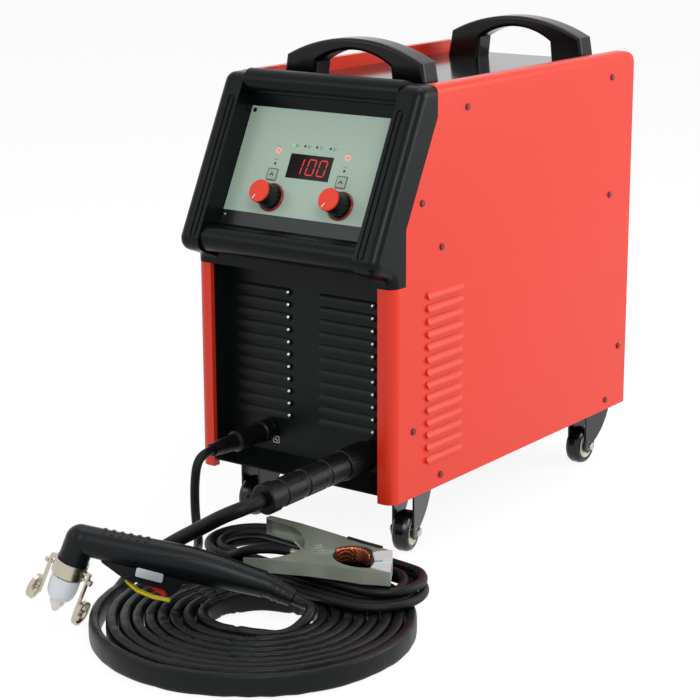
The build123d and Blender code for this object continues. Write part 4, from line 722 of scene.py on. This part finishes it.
def panelMaterial():
    # back-printed polycarbonate film: satin grey-green, with a dark strip along its foot
    material, tree, shader = newMaterial("printed panel film", panel["film"], 0.3, ior=1.4)
    half = panel["height"] / 2 * mm
    share = along(tree, panelOrigin, panelUp, -half, half)
    colour = banded(tree, share, [(0.0, "#151B1E"), (panel["strip"] / panel["height"], panel["film"])])
    tree.links.new(colour, shader.inputs["Base Color"])
    grain(tree, shader, 1.1, 0.06, 0.03, gloss=0.01)
    return material


def lampMaterial():
    # 3 mm lamps behind the film: the green one at the row's left and the upper red pair are lit
    material, tree, shader = newMaterial("indicator lamps", "#1A201D", 0.25, emission=0.9)
    height = along(tree, panelOrigin, panelUp, 0.0, 0.04)
    rows = banded(tree, height, [(0.0, "#151A18"), (0.35, "#F0503A"), (0.68, "#151A18")])
    green = banded(tree, height, [(0.0, "#000000"), (0.68, "#FFFFFF")])
    across = along(tree, panelOrigin, (1, 0, 0), -0.06, 0.0)
    left = banded(tree, across, [(0.0, "#FFFFFF"), (0.5, "#000000")])
    both = maths(tree, "MULTIPLY", green, left)
    lit = addNode(tree, "ShaderNodeMix", {"data_type": "RGBA"}, _0=both, _6=rows, _7=hexColour("#4FC23A"))
    tree.links.new(lit.outputs[2], shader.inputs["Base Color"])
    tree.links.new(lit.outputs[2], shader.inputs["Emission Color"])
    return material


def pivotedPlastic(name, colour):
    # coloured moulding whose steel pivot ends stand out at the grip's sides in black
    material, tree, shader = newMaterial(name, colour, 0.3, ior=1.42)
    sideways = torchAxes()[1]
    share = along(tree, np.array(torchFrame["origin"]) * mm, sideways, -0.02, 0.02)
    shade = banded(tree, share, [(0.0, "#0B0C0D"), (0.305, colour), (0.695, "#0B0C0D")])
    tree.links.new(shade, shader.inputs["Base Color"])
    grain(tree, shader, 0.9, 0.2, 0.04)
    return material


def forkMaterial(name, centre, axle):
    # black-passivated pressed steel, with a bright zinc nut and washer on the axle
    material, tree, shader = newMaterial(name, "#15171A", 0.26, ior=1.4)
    share = fromAxis(tree, centre, axle, 0.0, 0.02)
    shade = banded(tree, share, [(0.0, "#C2C4C1"), (0.29, "#121416")])
    metal = banded(tree, share, [(0.0, "#FFFFFF"), (0.29, "#000000")])
    tree.links.new(shade, shader.inputs["Base Color"])
    tree.links.new(metal, shader.inputs["Metallic"])
    grain(tree, shader, 1.6, 0.12, 0.04)
    return material


def knobMaterial(name, place):
    # two-shot knob: dark red skirt ring and orange cap round a black fluted body, white pointer on top
    material, tree, shader = newMaterial(name, "#101213", 0.3, ior=1.36)
    share = along(tree, onPanel(place, 0), panelNormal, 0.0, 0.03)
    colour = banded(tree, share, [(0.0, "#9C1A1C"), (0.105, "#0E1011"), (0.795, "#5C1610"), (0.85, "#E8381C"),
                                  (0.912, "#EDE9E2")])
    tree.links.new(colour, shader.inputs["Base Color"])
    grain(tree, shader, 0.8, 0.15, 0.04)
    return material


def wheelMaterial(name, centre, axle):
    # polyurethane tyre on a cream nylon hub, with a zinc axle nut
    material, tree, shader = newMaterial(name, "#101112", 0.2, ior=1.4)
    share = fromAxis(tree, centre, axle, 0.0, 0.025)
    colour = banded(tree, share, [(0.0, "#A7A9A4"), (0.14, "#232526"), (0.36, "#DDD8C4"), (0.66, "#0D0E0F")])
    tree.links.new(colour, shader.inputs["Base Color"])
    grain(tree, shader, 1.2, 0.15, 0.05)
    return material


nodeFinish = {
    "base_pan": blackCoat, "front_panel": blackCoat, "rear_panel": blackCoat, "top_cover": glossTop,
    "right_side_cover": redCoat, "left_side_cover": redCoat, "cover_screws": darkScrew,
    "bezel_frame": bezelPlastic, "left_cheek": bezelPlastic, "right_cheek": bezelPlastic,
    "display_window": displayBlack, "left_select_button": buttonGrey, "right_select_button": buttonGrey,
    "control_board": circuitGreen, "inverter_board": circuitGreen,
    "heat_sink": castAluminium, "transformer": windingVarnish, "air_valve": brassMetal,
    "front_handle": handlePlastic, "rear_handle": handlePlastic, "fan_frame": bezelPlastic,
    "fan_rotor": bezelPlastic, "fan_guard": blackCoat, "mains_switch": bezelPlastic,
    "mains_rocker": redPlastic, "mains_gland": rubberBlack, "caster_plates": zincPlate,
    "earth_socket": rubberBlack, "earth_plug": rubberBlack,
    "torch_socket": rubberBlack, "coupling_nut": rubberBlack, "plug_sleeve": rubberBlack,
    "torch_handle": torchPlastic, "torch_head": nozzleSilver, "shield_cup": ceramicWhite,
    "guide_ring": nickelMetal, "near_guide_wheel": nickelMetal, "far_guide_wheel": nickelMetal,
    "near_jaw": clampZinc, "far_jaw": clampZinc,
}


def dressNodes():
    finish = dict(nodeFinish)
    finish["control_panel"] = panelMaterial()
    finish["indicator_leds"] = lampMaterial()
    finish["torch_trigger"] = pivotedPlastic("red trigger moulding", "#D6271A")
    finish["trigger_safety"] = pivotedPlastic("yellow lever moulding", "#DCC810")
    for side, place in zip(("left", "right"), panel["knobs"]):
        finish[f"{side}_knob"] = knobMaterial(f"{side} knob mouldings", place)
    for joint in frame["joints"]:
        if joint["name"].endswith("_roll") and "guide" not in joint["name"]:
            wheel = joint["child"]
            finish[wheel] = wheelMaterial(wheel.replace("_", " "), joint["pos_m"], joint["axis"])
            fork = wheel.replace("_wheel", "_fork")
            finish[fork] = forkMaterial(fork.replace("_", " "), joint["pos_m"], joint["axis"])
    for name, material in finish.items():
        slots = frame["nodes"][name].data.materials
        slots.clear()
        slots.append(material)


def buildStage():
    # a floor that shows white to the camera, takes the soft shadow, and lights the object as pale grey
    size = 30.0
    corners = [(-size, -size, 0), (size, -size, 0), (size, size, 0), (-size, size, 0)]
    mesh = bpy.data.meshes.new("floor")
    mesh.from_pydata(corners, [], [(0, 1, 2, 3)])
    floor = bpy.data.objects.new("floor", mesh)
    bpy.context.scene.collection.objects.link(floor)
    material = bpy.data.materials.new("white floor")
    material.use_nodes = True
    tree = material.node_tree
    tree.nodes.clear()
    path = addNode(tree, "ShaderNodeLightPath")
    seen = maths(tree, "MAXIMUM", path.outputs["Is Camera Ray"], path.outputs["Is Glossy Ray"])
    lighting = addNode(tree, "ShaderNodeBsdfDiffuse", Color=hexColour("#EDEDED"))     # lights the object
    shadowed = addNode(tree, "ShaderNodeBsdfDiffuse", Color=(0.14, 0.14, 0.14, 1))    # takes the shadow
    glow = addNode(tree, "ShaderNodeEmission", Color=(1, 1, 1, 1), Strength=0.9)
    shown = addNode(tree, "ShaderNodeAddShader", _0=shadowed.outputs[0], _1=glow.outputs[0])
    pick = addNode(tree, "ShaderNodeMixShader", _0=seen, _1=lighting.outputs[0], _2=shown.outputs[0])
    output = addNode(tree, "ShaderNodeOutputMaterial")
    tree.links.new(pick.outputs[0], output.inputs["Surface"])
    mesh.materials.append(material)


def buildLight():
    world = bpy.data.worlds.new("studio")
    bpy.context.scene.world = world
    world.use_nodes = True
    tree = world.node_tree
    tree.nodes.clear()
    path = addNode(tree, "ShaderNodeLightPath")
    direct = maths(tree, "MAXIMUM", path.outputs["Is Camera Ray"], path.outputs["Is Transmission Ray"])
    seen = maths(tree, "MAXIMUM", direct, path.outputs["Is Glossy Ray"])
    strength = addNode(tree, "ShaderNodeMapRange", _0=seen, _3=0.42, _4=1.0)
    back = addNode(tree, "ShaderNodeBackground", Color=(1, 1, 1, 1), Strength=strength.outputs["Result"])
    output = addNode(tree, "ShaderNodeOutputWorld")
    tree.links.new(back.outputs[0], output.inputs["Surface"])
    lamps = {"key": ((2.3, -2.6, 2.3), 1.6, 50.0), "left": ((-1.7, -2.8, 1.9), 1.2, 9.0),
             "top": ((0.2, 0.5, 3.2), 2.2, 34.0), "rim": ((2.4, 1.5, 1.1), 1.8, 42.0)}
    for name, (place, size, power) in lamps.items():
        light = bpy.data.lights.new(name, "AREA")
        light.shape = "SQUARE"
        light.size, light.energy = size, power
        lamp = bpy.data.objects.new(name, light)
        aim = np.array([0.05, -0.15, 0.25]) - np.array(place)
        lamp.matrix_world = Matrix.Translation(place) @ directionMatrix(aim)
        bpy.context.scene.collection.objects.link(lamp)


def directionMatrix(aim, roll=0.0):
    # a turn that points -Z along aim with +Y as near up as it goes, rolled about the aim
    forward = np.array(aim, float) / np.linalg.norm(aim)
    right = np.cross(forward, [0, 0, 1.0])
    right /= np.linalg.norm(right)
    up = np.cross(right, forward)
    turned = right * math.cos(roll) + up * math.sin(roll)
    lifted = -right * math.sin(roll) + up * math.cos(roll)
    return Matrix([[turned[i], lifted[i], -forward[i]] for i in range(3)]).to_4x4()


camera = {"place": (1.4117, -2.0929, 0.8336), "pan": 36.15, "tilt": -14.4, "roll": -0.18, "lens": 103.64}


def buildCamera():
    data = bpy.data.cameras.new("view")
    data.sensor_width, data.lens = 36.0, camera["lens"]
    pan, tilt = math.radians(camera["pan"]), math.radians(camera["tilt"])
    aim = (-math.sin(pan) * math.cos(tilt), math.cos(pan) * math.cos(tilt), math.sin(tilt))
    eye = bpy.data.objects.new("view", data)
    turn = directionMatrix(aim, math.radians(camera["roll"]))
    eye.matrix_world = Matrix.Translation(camera["place"]) @ turn
    bpy.context.scene.collection.objects.link(eye)
    bpy.context.scene.camera = eye
    bpy.context.scene.view_settings.view_transform = "Standard"


dressNodes()
print("nodes dressed")
buildLouvreGlints()
buildTorchTrim()
buildCup()
buildClampTrim()
print("torch and clamp trim built")
buildPanelGraphics()
print("panel graphics built")
buildTorchLead()
buildEarthLead()
buildStage()
buildLight()
buildCamera()
print("stage, light and camera set")
